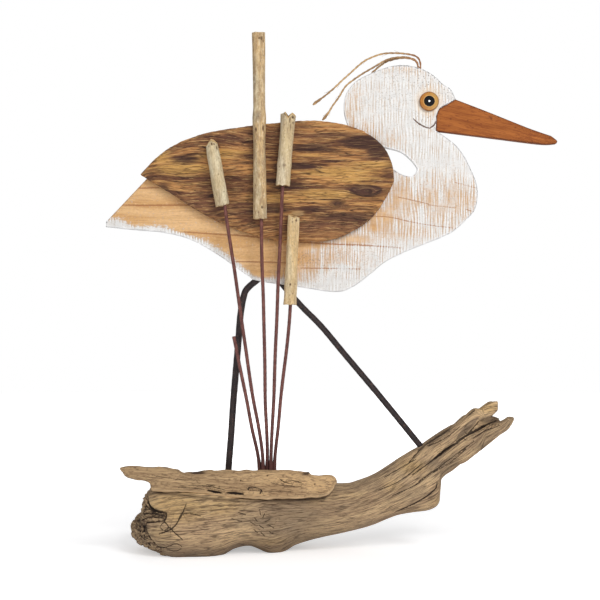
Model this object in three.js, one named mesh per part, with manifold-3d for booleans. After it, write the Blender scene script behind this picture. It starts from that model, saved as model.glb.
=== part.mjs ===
import * as THREE from "three";
import { mergeVertices } from "three/addons/utils/BufferGeometryUtils.js";
import ManifoldModule from "manifold-3d";

// A heron sawn from board, standing on two rods in driftwood beside reeds of wire and twig.
// Millimetres, +Z up. The painted side looks along -Y and the beak points along +X.
// The origin is on the ground under the middle of the whole piece.

// Thicknesses, diameters and fits
const fitGap = 0.3;
const finestDetail = 0.02;
const boardThickness = 10;
const boardFront = -3;
const boardMiddle = boardFront + boardThickness / 2;
const sawnEdgeEase = 0.8;
const wingThickness = 10;
const wingEdgeRadius = 5;
const wingBack = boardFront - fitGap;
const wingFront = wingBack - wingThickness;
const wingRimShare = 0.45;
const beakThickness = 10;
const beakStandsProud = 0.5;
const legDiameter = 5.2;
const stemDiameter = 3;
const stemBoreDepth = 14;
const rodSides = 8;
const strandDiameter = 2;
const crestHoleDiameter = 5.6;
const crestHoleDepth = 14;
const crestHoleCentre = [88, 482];
const eyeDiameter = 19;
const pupilDiameter = 10.4;
const reedPlane = wingFront - 7;

// Outlines of the flat pieces as [x, z], looking at the painted side
const tailTip = [-225.5, 323];
const tailUpperCorner = [-225.5, 328];
const bellyAndBreast = [
  [-196, 320], [-168, 317.5], [-140, 310], [-112, 294], [-84, 274.5], [-73, 269], [-32, 263],
  [4, 258], [22, 263.5], [39, 276], [54, 288], [75, 298.5], [111, 313], [123.5, 320],
  [134.5, 330], [142.5, 339], [145.8, 350], [145.5, 364], [141.5, 376], [132.5, 394],
  [122.5, 406.5], [105.5, 419],
];
const foreheadStart = [124.3, 450.7];
const crownAndNape = [
  [119, 461], [112, 465.5], [101.5, 475], [88.5, 481.8], [71.5, 485], [54.5, 482.5], [33.5, 474],
  [21.5, 466], [13.8, 454], [12.5, 440], [15, 429], [19, 420], [28, 410],
];
const throat = [[40, 404], [52.5, 402.5], [68.5, 398.5], [77.5, 392], [84.5, 384]];
const throatEnd = [[85.7, 379.5], [80.2, 373.7], [70.5, 375.5], [62, 380.5]];
const backLine = [[40, 389.5], [0, 399], [-40, 403], [-85, 402], [-125, 396], [-158, 385], [-184, 372]];
const beakRear = [[104.5, 419], [104.9, 434], [107.5, 441], [124, 450.5]];
const beakTop = [[156.5, 438], [196.5, 422], [219.5, 414]];
const beakTip = [[225.5, 409.2], [224.7, 406.4]];
const beakUnder = [[209.5, 406], [168.5, 411]];
const beyondBeak = [[160, 452], [160, 411]];
const eyeCentre = [97.5, 448.4];
// The eye's dome as [radius, height] from its flat back, out round the rim and in over the pupil
const eyeDome = [
  [0, 0], [eyeDiameter / 2, 0], [eyeDiameter / 2 - 0.7, 1.6], [pupilDiameter / 2 + 0.5, 2.6],
  [pupilDiameter / 2 - 0.2, 3.4], [pupilDiameter * 0.3, 4.4], [0, 4.9],
];

// The wing's upper and lower edge, from its ragged tip to its rounded shoulder
const wingUpperEdge = [
  [-188.5, 375.5], [-184, 383], [-174.5, 392.5], [-163.5, 400.5], [-146.5, 409], [-122, 416.8],
  [-91, 422], [-49.5, 427], [-23.5, 428.6], [0, 427], [15, 425], [27, 420], [38, 415.5],
  [45, 411.5], [51, 401.5], [56, 393], [60, 383.5], [63, 371],
];
const wingLowerEdge = [
  [-188.5, 373.5], [-184, 371], [-154.5, 352.5], [-133, 338.5], [-105, 324.5], [-84, 316.5],
  [-63, 310.6], [-43.5, 308], [-13.5, 308.6], [4, 311.6], [22, 320.5], [36, 329.5], [47, 338.5],
  [56, 349], [60.5, 358], [63, 366],
];
const wingRidgePitch = 13;
const wingRidgeHeight = 0.9;

// The driftwood log: its upper and lower outline as [x, z], its near and far side as [x, y]
const logUpper = [
  [-200, 27], [-194, 35], [-186.5, 47], [-182, 60], [-170, 68], [-130, 74], [-60, 73.5], [-20, 70], [5, 66],
  [16, 66.3], [28, 70], [42, 76], [55, 84], [68, 92.4], [82, 100.4], [95, 108.4], [109, 118.5],
  [122, 125.5], [134.5, 135], [143.5, 141], [148.5, 141.5], [158.5, 147.5], [165.5, 148],
  [167.5, 138], [170, 131.5], [178, 131.5], [182, 129],
];
const logLower = [
  [-200, 21], [-196, 13], [-186.5, 6], [-174.5, 1], [-163, -5], [-150, -9], [-122, -9],
  [-108, -4], [-97, 5], [-84, 7.5], [-72, 2], [-66, -3], [-60, -6], [-50, -6], [-42, -3], [-37, 1.5],
  [-20, 11], [15, 18.5], [28, 22], [42, 26.5], [55, 31.5], [67, 35.5], [82, 38], [95, 39.5],
  [104, 43], [108, 49], [110.5, 72], [122, 81], [142, 96], [159.5, 110.4], [173.5, 120], [182, 127],
];
const logNear = [
  [-200, -6], [-197, -22], [-190, -39], [-178, -52], [-160, -57.5], [-140, -58], [-110, -53],
  [-80, -43], [-50, -35], [-20, -28], [15, -23], [50, -19], [90, -15], [125, -12], [150, -9],
  [166, -7], [182, -2],
];
const logFar = [
  [-200, 6], [-197, 22], [-190, 39], [-178, 52], [-160, 57.5], [-140, 58], [-110, 56], [-80, 54],
  [-50, 51], [-20, 42], [15, 31], [50, 24], [90, 19], [125, 16], [150, 13], [166, 11], [182, 6],
];
const logSides = 22;
const logSquareness = 2.7;
const logKnobStations = [-200, -198, -193, -187, -181, -172];
const logBranchStations = [103, 107, 110, 115, 124, 134.7, 145.3, 156, 163, 166, 168.5, 172, 177, 182];
const beforeLog = -70;
const logRidges = [
  { count: 5, height: 0.022, drift: 0.011 },
  { count: 9, height: 0.014, drift: -0.019 },
];
const endSplit = [[153, 122], [171, 131], [190, 142], [190, 134], [171, 127]];
const longCrack = { route: [[81, 75], [103, 92], [129, 110], [158, 124.4]], width: 2.6, floor: -8 };
const topCrack = { route: [[95, 104.5], [121, 121], [134, 132]], width: 1.8, floor: -7 };
const rotPocket = { centre: [-186, -38, 37], radii: [17, 14, 7] };

// The slat on the log's near shoulder: the same four outlines
const slatUpper = [
  [-206.5, 85.2], [-201, 87.8], [-173, 87.5], [-151, 85], [-145.3, 81.4], [-141, 82.9],
  [-123, 83.3], [-47, 82.9], [-24.5, 81.7], [-20.8, 79.3], [-2.3, 78.2], [2.5, 76.2], [4.2, 72.5],
];
const slatLower = [
  [-206.5, 83.6], [-197.5, 75.5], [-181.5, 73.6], [-177.5, 71.5], [-176, 64.5], [-144, 62.5],
  [-116, 59.1], [-98, 56.8], [-74.5, 55.3], [-42.5, 55.3], [-15, 57], [-6.5, 59.1], [0.5, 66], [4.2, 70.5],
];
const slatNear = [[-206.5, -42.5], [-196, -46], [-150, -47.5], [-60, -42], [-8, -37], [4.2, -33]];
const slatFar = [[-206.5, -41], [-196, -37], [-150, -33], [-60, -28], [-8, -24], [4.2, -25.5]];
const slatSides = 12;
const slatSquareness = 4.5;
const slatStations = [-202, -197, -182, -177.5, -175.5, -165, -151, -145.3, -141];
const slatEndStations = [-24.5, -20.8, -6.5, 0.5, 2.8, 4.2];

// Routes of the bent rods as [x, z], from the driftwood up into the board
const legLeftRoute = [
  [-104.8, 52], [-103.9, 68], [-103, 84], [-100.7, 113], [-98.2, 150], [-93.5, 206], [-91.4, 233.4],
  [-89.4, 247], [-88, 253.5], [-86.2, 259], [-82.3, 263.6], [-76.6, 268.4], [-69.5, 274],
];
const legRightRoute = [
  [97.6, 93.5], [87.5, 105.9], [47.7, 154.7], [10.6, 198.8], [-7.3, 220.4], [-16.4, 230.2], [-25.6, 239.2],
  [-34.2, 248.3], [-42, 257.2], [-49.5, 266], [-55.2, 273],
];

// Stems as [x, y, z] from the driftwood up, each to the foot of its twig
const bareStemRoute = [
  [-71.2, -13, 54], [-71.2, -13, 65], [-71.2, -13, 76], [-73.4, -13.8, 97], [-79.4, -15, 124],
  [-84.5, -16.2, 151], [-94.4, -19, 201], [-97.1, -19.8, 214],
];
const reeds = [
  {
    foot: [-108, 343.2], top: [-118.8, 407.5], width: 12.4, topWidth: 11, bore: 2,
    stem: [[-67.9, -16.5, 54], [-67.9, -16.5, 65], [-67.9, -16.5, 76], [-68.6, -16.8, 97],
      [-72.6, -17.4, 124], [-77.6, -18, 151], [-85.2, -19.3, 201], [-91.3, -20, 245], [-97.6, -20.3, 287.6]],
    girth: [[0, 1], [0.3, 1.02], [0.66, 1.04], [0.7, 0.97], [0.9, 0.98], [1, 1]], peak: 2.5,
  },
  {
    foot: [-71, 330.3], top: [-72.4, 514.6], width: 13, topWidth: 11.6, bore: 1.2,
    stem: [[-64.3, -13.5, 54], [-64.3, -13.5, 65], [-64.3, -13.5, 76], [-64, -14, 97],
      [-64.7, -15, 124], [-65.9, -16, 151], [-66.8, -18.4, 214], [-69, -20.3, 287.6]],
    girth: [[0, 1.02], [0.2, 0.98], [0.4, 0.92], [0.49, 1.06], [0.54, 1.08], [0.6, 0.96], [1, 1]],
    peak: 0.6,
  },
  {
    foot: [-48.6, 363.2], top: [-42.8, 435], width: 12.6, topWidth: 14.2, bore: 0,
    stem: [[-60.7, -16.5, 54], [-60.7, -16.5, 65], [-60.7, -16.5, 76], [-60.1, -16.8, 97],
      [-58.9, -17.4, 124], [-57.6, -18, 151], [-55.1, -19.4, 217], [-52.1, -20.3, 287.6]],
    girth: [[0, 1], [0.2, 0.97], [0.28, 1.06], [0.38, 0.98], [0.75, 0.98], [1, 1.05]], peak: -1.2,
  },
  {
    foot: [-40.9, 245.4], top: [-38, 333.8], width: 12.2, topWidth: 10, bore: 0,
    stem: [[-57.2, -13.5, 54], [-57.2, -13.5, 65], [-57.2, -13.5, 76], [-56, -14, 97],
      [-53.2, -15, 124], [-50.7, -16, 151], [-44.9, -18.6, 201], [-41.9, -20, 230]],
    girth: [[0, 1.04], [0.1, 0.97], [0.22, 1.05], [0.3, 0.98], [0.85, 1.04], [1, 0.9]], peak: -1.5,
  },
];
const twigSides = 10;
const twigFlatness = 0.92;
const twigWobble = 0.02;

// Fibre strands of the crest as [x, y, z], out of one hole in the crown
const strandRoutes = [
  [[89.5, 2, 474], [89.5, 2, 482], [88.9, 1.9, 489], [85.8, 1.6, 493.6], [76, 1, 496.6],
    [60, 0.4, 497.4], [47.5, 0, 495.8], [34.5, -0.4, 490.2], [26.5, -0.7, 484], [15.5, -1, 474.2],
    [1.5, -1.2, 461.2], [-10, -1.3, 451.8], [-18.5, -1.4, 445.4]],
  [[87.2, 3.3, 474], [87.1, 3.3, 482], [85.2, 3.4, 489.6], [77, 3.4, 493.4], [66, 3.3, 493.6],
    [54.5, 3.2, 490.6], [39, 3, 481.7], [22, 3, 471], [14.5, 2.6, 464.5], [8.5, 2, 455],
    [1.5, 1.2, 445.3], [-3.5, 0.6, 437], [-9, 0, 430.3]],
  [[87.2, 0.7, 474], [87.2, 0.7, 483], [85.4, 0.9, 487.6], [79, 2, 490.8], [68, 5, 491],
    [56, 8.4, 488], [48, 9.8, 483], [41, 10, 476.5]],
];

const wasm = await ManifoldModule();
wasm.setup();

/** The closed mesh of a geometry as a solid that can be joined and cut. */
function toSolid(geometry) {
  const bare = geometry.clone();
  bare.deleteAttribute("normal");
  bare.deleteAttribute("uv");
  const merged = mergeVertices(bare, 1e-4);
  return new wasm.Manifold(new wasm.Mesh({
    numProp: 3,
    vertProperties: new Float32Array(merged.attributes.position.array),
    triVerts: new Uint32Array(merged.index.array),
  }));
}

/** The geometry that is left of a piece once the given tools have cut it. */
function cut(geometry, ...tools) {
  const left = tools.reduce((solid, tool) => solid.subtract(toSolid(tool)), toSolid(geometry));
  const mesh = left.simplify(finestDetail).getMesh();
  const result = new THREE.BufferGeometry();
  result.setAttribute("position", new THREE.BufferAttribute(mesh.vertProperties, 3));
  result.setIndex(new THREE.BufferAttribute(mesh.triVerts, 1));
  result.computeVertexNormals();
  return result;
}

/** A smooth curve through [x, value] pairs that never overshoots between them. */
function profile(points) {
  const slopes = points.slice(1).map(([x, v], i) => (v - points[i][1]) / (x - points[i][0]));
  const tangents = points.map((_, i) => {
    const before = slopes[i - 1] ?? slopes[i];
    const after = slopes[i] ?? slopes[i - 1];
    return before * after > 0 ? (2 * before * after) / (before + after) : 0;
  });
  return (x) => {
    const last = points.length - 2;
    const found = points.findIndex(([px]) => px > x) - 1;
    const i = found < -1 ? last : Math.min(Math.max(found, 0), last);
    const width = points[i + 1][0] - points[i][0];
    const t = THREE.MathUtils.clamp((x - points[i][0]) / width, 0, 1);
    const start = (1 + 2 * t) * (1 - t) ** 2 * points[i][1];
    const end = t * t * (3 - 2 * t) * points[i + 1][1];
    const startTurn = t * (1 - t) ** 2 * width * tangents[i];
    const endTurn = t * t * (t - 1) * width * tangents[i + 1];
    return start + end + startTurn + endTurn;
  };
}

/** Evenly spaced numbers from the first value to the last, both included. */
function spaced(from, to, count) {
  return Array.from({ length: count }, (_, i) => from + ((to - from) * i) / (count - 1));
}

/** The angles of one full turn in even steps, from zero. */
function turn(steps) {
  return Array.from({ length: steps }, (_, i) => (2 * Math.PI * i) / steps);
}

/** A closed skin over a row of closed rings with equally many points, ended by two fans. */
function skin(rings) {
  const count = rings[0].length;
  const vertices = rings.flat();
  const index = [];
  for (let row = 0; row < rings.length - 1; row++) {
    for (let k = 0; k < count; k++) {
      const a = row * count + k;
      const b = row * count + ((k + 1) % count);
      index.push(a, b, a + count, b, b + count, a + count);
    }
  }
  [rings[0], rings.at(-1)].forEach((ring, end) => {
    const middle = ring.reduce((sum, p) => sum.add(p), new THREE.Vector3()).divideScalar(count);
    const first = end * (rings.length - 1) * count;
    for (let k = 0; k < count; k++) {
      const a = first + k;
      const b = first + ((k + 1) % count);
      index.push(vertices.length, end ? a : b, end ? b : a);
    }
    vertices.push(middle);
  });
  const geometry = new THREE.BufferGeometry().setFromPoints(vertices);
  geometry.setIndex(index);
  geometry.computeVertexNormals();
  return geometry;
}

/** A rounded box section: the sine or cosine of a superellipse with the given squareness. */
function rounded(value, squareness) {
  return Math.sign(value) * Math.abs(value) ** (2 / squareness);
}

/** A round rod along a route of [x, y, z] points, with about one step for each stepLength. */
function rod(route, diameter, stepLength) {
  const path = new THREE.CatmullRomCurve3(route.map((p) => new THREE.Vector3(...p)));
  const steps = Math.ceil(path.getLength() / stepLength);
  const section = new THREE.Shape(
    turn(rodSides).map(
      (angle) => new THREE.Vector2(Math.cos(angle), Math.sin(angle)).multiplyScalar(diameter / 2),
    ),
  );
  return new THREE.ExtrudeGeometry(section, { steps, extrudePath: path, bevelEnabled: false });
}

/** A sheet of even thickness behind its front plane, cut to a shape drawn as x and z. */
function plate(shape, front, thickness, ease, curveSegments) {
  const geometry = new THREE.ExtrudeGeometry(shape, {
    depth: thickness - 2 * ease,
    bevelEnabled: ease > 0,
    bevelSegments: 1,
    bevelSize: ease,
    bevelThickness: ease,
    bevelOffset: -ease,
    curveSegments,
  });
  return geometry.rotateX(Math.PI / 2).translate(0, front + thickness - ease, 0);
}

/** The [x, z] points of an outline as plane vectors. */
function flat(points) {
  return points.map(([x, z]) => new THREE.Vector2(x, z));
}

/** The beak: a flat wedge whose rear end is shaped to the notch in the head. */
function beak() {
  const shape = new THREE.Shape(flat(beakRear));
  shape.splineThru(flat(beakTop));
  shape.splineThru(flat(beakTip));
  shape.splineThru(flat(beakUnder));
  shape.closePath();
  return plate(shape, boardFront - beakStandsProud, beakThickness, sawnEdgeEase, 2);
}

/** The board with the notch for the beak, the rods' holes and the crest's hole cut into it. */
function bodyBoard(legRoutes) {
  const shape = new THREE.Shape();
  shape.moveTo(...tailTip);
  shape.splineThru(flat(bellyAndBreast));
  shape.lineTo(...foreheadStart);
  shape.splineThru(flat([...crownAndNape, ...throat, ...throatEnd]));
  shape.splineThru(flat(backLine));
  shape.lineTo(...tailUpperCorner);
  shape.closePath();
  const board = plate(shape, boardFront, boardThickness, sawnEdgeEase, 2);
  const notch = new THREE.Shape(flat([...beakRear, ...beyondBeak]));
  const notchCutter = plate(notch, boardFront - boardThickness, 3 * boardThickness, 0, 1);
  const legHoles = legRoutes.map((route) => rod(route.slice(-3), legDiameter + 2 * fitGap, 8));
  const crestHole = new THREE.CylinderGeometry(
    crestHoleDiameter / 2,
    crestHoleDiameter / 2,
    2 * crestHoleDepth,
    12,
  );
  crestHole.rotateX(Math.PI / 2).translate(crestHoleCentre[0], boardMiddle, crestHoleCentre[1]);
  return cut(board, notchCutter, ...legHoles, crestHole);
}

/** The wing: sections across it, flat behind, ridged along the grain and round at the edge in front. */
function wingSlab() {
  const upper = profile(wingUpperEdge);
  const lower = profile(wingLowerEdge);
  const tip = wingUpperEdge[0][0];
  const shoulder = wingUpperEdge.at(-1)[0];
  const across = [0, 0.025, 0.08, ...spaced(0.16, 0.84, 9), 0.92, 0.975, 1];
  const stations = [0, 0.012, 0.03, 0.06, ...spaced(0.1, 0.9, 23), 0.94, 0.97, 0.99, 1];
  const rings = stations.map((station) => {
    const x = THREE.MathUtils.lerp(tip, shoulder, station);
    const top = upper(x);
    const bottom = lower(x);
    const front = across.map((share) => {
      const z = THREE.MathUtils.lerp(bottom, top, share);
      const inset = Math.min(top - z, z - bottom, x - tip, shoulder - x) + 1.2;
      const roundness = Math.min(inset / wingEdgeRadius, 1);
      const bulge = Math.sqrt(1 - (1 - roundness) ** 2);
      const rise = wingThickness * THREE.MathUtils.lerp(wingRimShare, 1, bulge);
      const wave = Math.cos((2 * Math.PI * z) / wingRidgePitch + 0.8 * Math.sin(x / 45));
      const groove = wingRidgeHeight * roundness * (0.5 + 0.5 * wave);
      return new THREE.Vector3(x, wingBack - rise + groove, z);
    });
    const back = [new THREE.Vector3(x, wingBack, top), new THREE.Vector3(x, wingBack, bottom)];
    return [...front, ...back].reverse();
  });
  return skin(rings);
}

/** The domed eye: an amber ring with a raised pupil, its flat back on the board. */
function eye() {
  return new THREE.LatheGeometry(flat(eyeDome), 20);
}

/** One section through a piece of driftwood whose four outlines are given. */
function driftwoodRing(x, [upper, lower, near, far], sides, squareness, ridges = []) {
  const halfHeight = (upper(x) - lower(x)) / 2;
  const halfDepth = (far(x) - near(x)) / 2;
  return turn(sides).map((angle) => {
    const ridge = ridges.reduce(
      (sum, { count, height, drift }) => sum - height * (1 - Math.cos(count * angle + drift * x)),
      1,
    );
    const y = near(x) + halfDepth * (1 + rounded(Math.cos(angle), squareness) * ridge);
    const z = lower(x) + halfHeight * (1 + rounded(Math.sin(angle), squareness) * ridge);
    return new THREE.Vector3(x, y, z);
  });
}

/** The slat, or the seat that it needs in the log when it is grown by a gap. */
function slat(grow = 0) {
  const outlines = [
    slatUpper.map(([x, z]) => [x, z + grow]),
    slatLower.map(([x, z]) => [x, z - grow]),
    slatNear.map(([x, y]) => [x, y - grow]),
    slatFar.map(([x, y]) => [x, y + grow]),
  ].map(profile);
  const stations = [slatUpper[0][0], ...slatStations, ...spaced(-123, -42, 6), ...slatEndStations];
  return skin(stations.map((x) => driftwoodRing(x, outlines, slatSides, slatSquareness)));
}

/** A leaf-shaped opening along a route of [x, z], wide in the middle, from the near side to a floor. */
function crack({ route, width, floor }) {
  const curve = new THREE.SplineCurve(flat(route));
  const edge = (side) => spaced(0, 1, 9).map((t) => {
    const tangent = curve.getTangent(t);
    const half = side * (0.15 + Math.sin(Math.PI * t)) * width * 0.45;
    return curve.getPoint(t).add(new THREE.Vector2(-tangent.y, tangent.x).multiplyScalar(half));
  });
  const leaf = new THREE.Shape([...edge(1), ...edge(-1).reverse()]);
  return plate(leaf, beforeLog, floor - beforeLog, 0, 1);
}

/** The log with its split end, cracks, rotten pocket, the slat's seat and the rods' holes. */
function log(legRoutes, stemRoutes) {
  const outlines = [logUpper, logLower, logNear, logFar].map(profile);
  const stations = [...logKnobStations, ...spaced(-160, 96, 25), ...logBranchStations];
  const body = skin(stations.map(
    (x) => driftwoodRing(x, outlines, logSides, logSquareness, logRidges),
  ));
  const ground = new THREE.BoxGeometry(500, 2 * -beforeLog, 40).translate(0, 0, -20);
  const pocket = new THREE.IcosahedronGeometry(1, 1);
  pocket.scale(...rotPocket.radii).translate(...rotPocket.centre);
  const split = plate(new THREE.Shape(flat(endSplit)), beforeLog, 2 * -beforeLog, 0, 1);
  const legHoles = legRoutes.map((route) => rod(route.slice(0, 3), legDiameter + 2 * fitGap, 50));
  const stemHoles = stemRoutes.map((route) => rod(route.slice(0, 3), stemDiameter + 2 * fitGap, 50));
  return cut(body, ground, slat(fitGap), split, crack(longCrack), crack(topCrack), pocket,
    ...legHoles, ...stemHoles);
}

/** A peeled twig standing on its foot, chopped to a peak, with a hole up its middle for the stem. */
function twig({ width, topWidth, girth, peak, bore }, length) {
  const swelling = profile(girth);
  const rings = spaced(0, 1, 11).map((share) => {
    const radius = (THREE.MathUtils.lerp(width, topWidth, share) / 2) * swelling(share);
    return turn(twigSides).map((angle) => {
      const chop = share === 1 ? peak * Math.abs(Math.cos(angle / 2 + 0.4)) - Math.abs(peak) : 0;
      const wobble = 1 + twigWobble * (2 * Math.cos(2 * angle + 5 * share) + Math.cos(5 * angle));
      const reach = radius * wobble;
      return new THREE.Vector3(
        reach * Math.cos(angle),
        reach * twigFlatness * Math.sin(angle),
        length * share + chop,
      );
    });
  });
  const holeRoute = [[bore, 0, -1], [bore, 0, stemBoreDepth / 2], [bore, 0, stemBoreDepth + fitGap]];
  return cut(skin(rings), rod(holeRoute, stemDiameter + 2 * fitGap, stemBoreDepth));
}

/** A surface colour with its roughness and metalness. */
function finish(color, roughness, metalness = 0) {
  return new THREE.MeshStandardMaterial({ color, roughness, metalness });
}

const whitewash = finish(0xebe6e1, 0.85);
const weathered = finish(0x8c5f37, 0.8);
const beakPaint = finish(0xac6234, 0.6);
const blackRod = finish(0x3c3030, 0.5, 0.6);
const rustyWire = finish(0x693e3a, 0.7, 0.4);
const peeledTwig = finish(0xcdb991, 0.75);
const driftwood = finish(0x967d5f, 0.9);
const paleDriftwood = finish(0xb9966e, 0.9);
const fibre = finish(0xaa8255, 0.9);
const eyeGlaze = finish(0xc88c3c, 0.15);

const heron = new THREE.Group();

/** One named mesh, put into its group. */
function addPiece(parent, name, geometry, material) {
  const mesh = new THREE.Mesh(geometry, material);
  mesh.name = name;
  parent.add(mesh);
  return mesh;
}

const legRoutes = [legLeftRoute, legRightRoute].map(
  (route) => route.map(([x, z]) => [x, boardMiddle, z]),
);

const bird = new THREE.Group();
heron.add(bird);
addPiece(bird, "body_board", bodyBoard(legRoutes), whitewash);
addPiece(bird, "wing_slab", wingSlab(), weathered);
addPiece(bird, "beak", beak(), beakPaint);
const eyeMesh = addPiece(bird, "eye", eye(), eyeGlaze);
eyeMesh.rotation.x = Math.PI;
eyeMesh.position.set(eyeCentre[0], boardFront - fitGap, eyeCentre[1]);
["leg_left", "leg_right"].forEach((name, i) => {
  addPiece(bird, name, rod(legRoutes[i], legDiameter, 11), blackRod);
});
strandRoutes.forEach((route, i) => {
  addPiece(bird, `crest_strand_${i + 1}`, rod(route, strandDiameter, 3 * strandDiameter), fibre);
});

const stemRoutes = reeds.map((reed, i) => {
  const foot = new THREE.Vector3(reed.foot[0], reedPlane, reed.foot[1]);
  const top = new THREE.Vector3(reed.top[0], reedPlane, reed.top[1]);
  const axis = top.clone().sub(foot);
  const head = addPiece(heron, `reed_head_${i + 2}`, twig(reed, axis.length()), peeledTwig);
  head.position.copy(foot);
  head.quaternion.setFromUnitVectors(new THREE.Vector3(0, 0, 1), axis.normalize());
  head.updateMatrix();
  const inHead = [[reed.bore, 0, 0], [reed.bore, 0, stemBoreDepth]];
  const ends = inHead.map((p) => new THREE.Vector3(...p).applyMatrix4(head.matrix).toArray());
  return [...reed.stem, ...ends];
});
[bareStemRoute, ...stemRoutes].forEach((route, i) => {
  addPiece(heron, `reed_stem_${i + 1}`, rod(route, stemDiameter, 24), rustyWire);
});
addPiece(heron, "driftwood_log", log(legRoutes, [bareStemRoute, ...stemRoutes]), driftwood);
addPiece(heron, "driftwood_slat", slat(), paleDriftwood);

export default heron;
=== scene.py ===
"""A heron sawn from a board, with a weathered wing, on two bent rods in driftwood beside reeds.

Lengths in the sections are in millimetres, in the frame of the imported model: +Z up, the painted
side towards -Y, the beak towards +X. Each mesh is turned into metres when it is made.
"""

import math

import bpy
import numpy as np
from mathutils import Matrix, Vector
from mathutils.geometry import delaunay_2d_cdt


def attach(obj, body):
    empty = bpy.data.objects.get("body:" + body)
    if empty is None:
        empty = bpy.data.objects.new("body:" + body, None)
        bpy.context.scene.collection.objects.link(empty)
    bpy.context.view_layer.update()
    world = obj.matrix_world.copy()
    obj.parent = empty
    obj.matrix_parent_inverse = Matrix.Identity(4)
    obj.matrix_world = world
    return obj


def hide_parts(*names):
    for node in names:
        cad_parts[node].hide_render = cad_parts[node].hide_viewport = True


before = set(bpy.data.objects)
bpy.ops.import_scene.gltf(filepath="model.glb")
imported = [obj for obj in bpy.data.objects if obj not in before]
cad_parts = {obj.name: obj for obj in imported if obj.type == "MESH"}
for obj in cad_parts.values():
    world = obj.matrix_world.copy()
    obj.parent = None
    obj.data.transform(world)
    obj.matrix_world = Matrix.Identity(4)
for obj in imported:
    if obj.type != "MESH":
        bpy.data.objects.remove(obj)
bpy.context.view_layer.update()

# The studio: a white sweep with a big soft light in front on the right, weaker ones on the left and
# behind, and a small lamp near the camera, the only one that the eye mirrors. The camera stands
# level with the middle of the picture, 1.5 m in front of the painted board, where one pixel of the
# photograph is one millimetre.
MM = 0.001
CAMERA_PLACE = (-31.5, -1503, 250)
CAMERA_LENS = 90
SENSOR = 36
FLOOR_RADIUS = 2600
FLOOR_SIDES = 96
FLOOR_DROP = 0.02


def soft_light(name, place, aim, size, watts, mirrored=True):
    """A round lamp of the given size at a place, turned to shine at its aim.

    Where it isn't mirrored, glossy surfaces don't show it.
    """
    lamp = bpy.data.lights.new(name, "AREA")
    lamp.shape = "DISK"
    lamp.size = size * MM
    lamp.energy = watts
    holder = bpy.data.objects.new(name, lamp)
    spot = Vector(place) * MM
    holder.location = spot
    holder.rotation_euler = (Vector(aim) * MM - spot).to_track_quat("-Z", "Y").to_euler()
    holder.visible_glossy = mirrored
    bpy.context.scene.collection.objects.link(holder)


class Finish:
    """One material or effect group while it is put together, a node at a time."""

    def __init__(self, tree):
        self.tree = tree
        self.color = None

    def add(self, kind, inputs, out=0, **settings):
        """Adds a node; each input is a plain value or another node's output."""
        node = self.tree.nodes.new("ShaderNode" + kind)
        for name, value in settings.items():
            setattr(node, name, value)
        for key, value in inputs.items():
            if isinstance(value, bpy.types.NodeSocket):
                self.tree.links.new(value, node.inputs[key])
            else:
                node.inputs[key].default_value = value
        return node.outputs[out]

    def attribute(self, name, out="Fac"):
        """A mask or a vector that is kept on the mesh."""
        return self.add("Attribute", {}, out, attribute_name=name)

    def axis(self, name):
        """How far the place on the piece is along X, Y or Z."""
        return self.add("SeparateXYZ", {0: self.place}, name)

    def math(self, operation, first, second=0.0):
        return self.add("Math", {0: first, 1: second}, operation=operation)

    def plus(self, value, other, share):
        """A value with a share of another one added."""
        return self.math("ADD", value, self.math("MULTIPLY", other, share))

    def vector(self, operation, first, second=(0, 0, 0), out=0):
        return self.add("VectorMath", {0: first, 1: second}, out, operation=operation)

    def remap(self, value, low, high, to_low=0.0, to_high=1.0):
        """Turns low to high into to_low to to_high in a smooth step, and holds it beyond."""
        steps = {0: value, 1: low, 2: high, 3: to_low, 4: to_high}
        return self.add("MapRange", steps, interpolation_type="SMOOTHSTEP")

    def noise(self, cells, detail=2.0, roughness=0.5, at=None):
        """Noise from 0 to 1 whose blobs are cells long in x, y and z, in millimetres."""
        scaled = self.vector("DIVIDE", self.along if at is None else at, cells)
        return self.add("TexNoise", {0: scaled, 2: 1.0, 3: detail, 4: roughness})

    def sway(self, noise, depth):
        """A noise of 0 to 1 moved to lie round zero and stretched to a depth."""
        return self.math("MULTIPLY", self.math("SUBTRACT", noise, 0.5), depth)

    def blend(self, mask, below, above):
        """The lower colour where the mask is 0 and the upper one where it is 1."""
        return self.add("Mix", {0: mask, 6: below, 7: above}, 2, data_type="RGBA")

    def base(self, value, low, high, below, above):
        """Starts the colour with a smooth step from one screen colour to another."""
        self.color = self.blend(self.remap(value, low, high), srgb(*below), srgb(*above))

    def coat(self, mask, color, share=1.0):
        """Lays a screen colour over the colour by a mask, or by the name of one kept on the mesh."""
        if isinstance(mask, str):
            mask = self.attribute(mask)
        if share != 1.0:
            mask = self.math("MULTIPLY", mask, share)
        self.color = self.blend(mask, self.color, srgb(*color))

    def tint(self, value, low, high, share, color):
        """Lays a screen colour over the colour, from none at low to the given share at high."""
        self.coat(self.remap(value, low, high, 0.0, share), color)


def srgb(red, green, blue):
    """A screen colour of 0 to 255 as the linear colour that a shader takes."""
    screen = np.array([red, green, blue]) / 255
    linear = np.where(screen <= 0.04045, screen / 12.92, ((screen + 0.055) / 1.055) ** 2.4)
    return (*linear.tolist(), 1.0)


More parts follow.
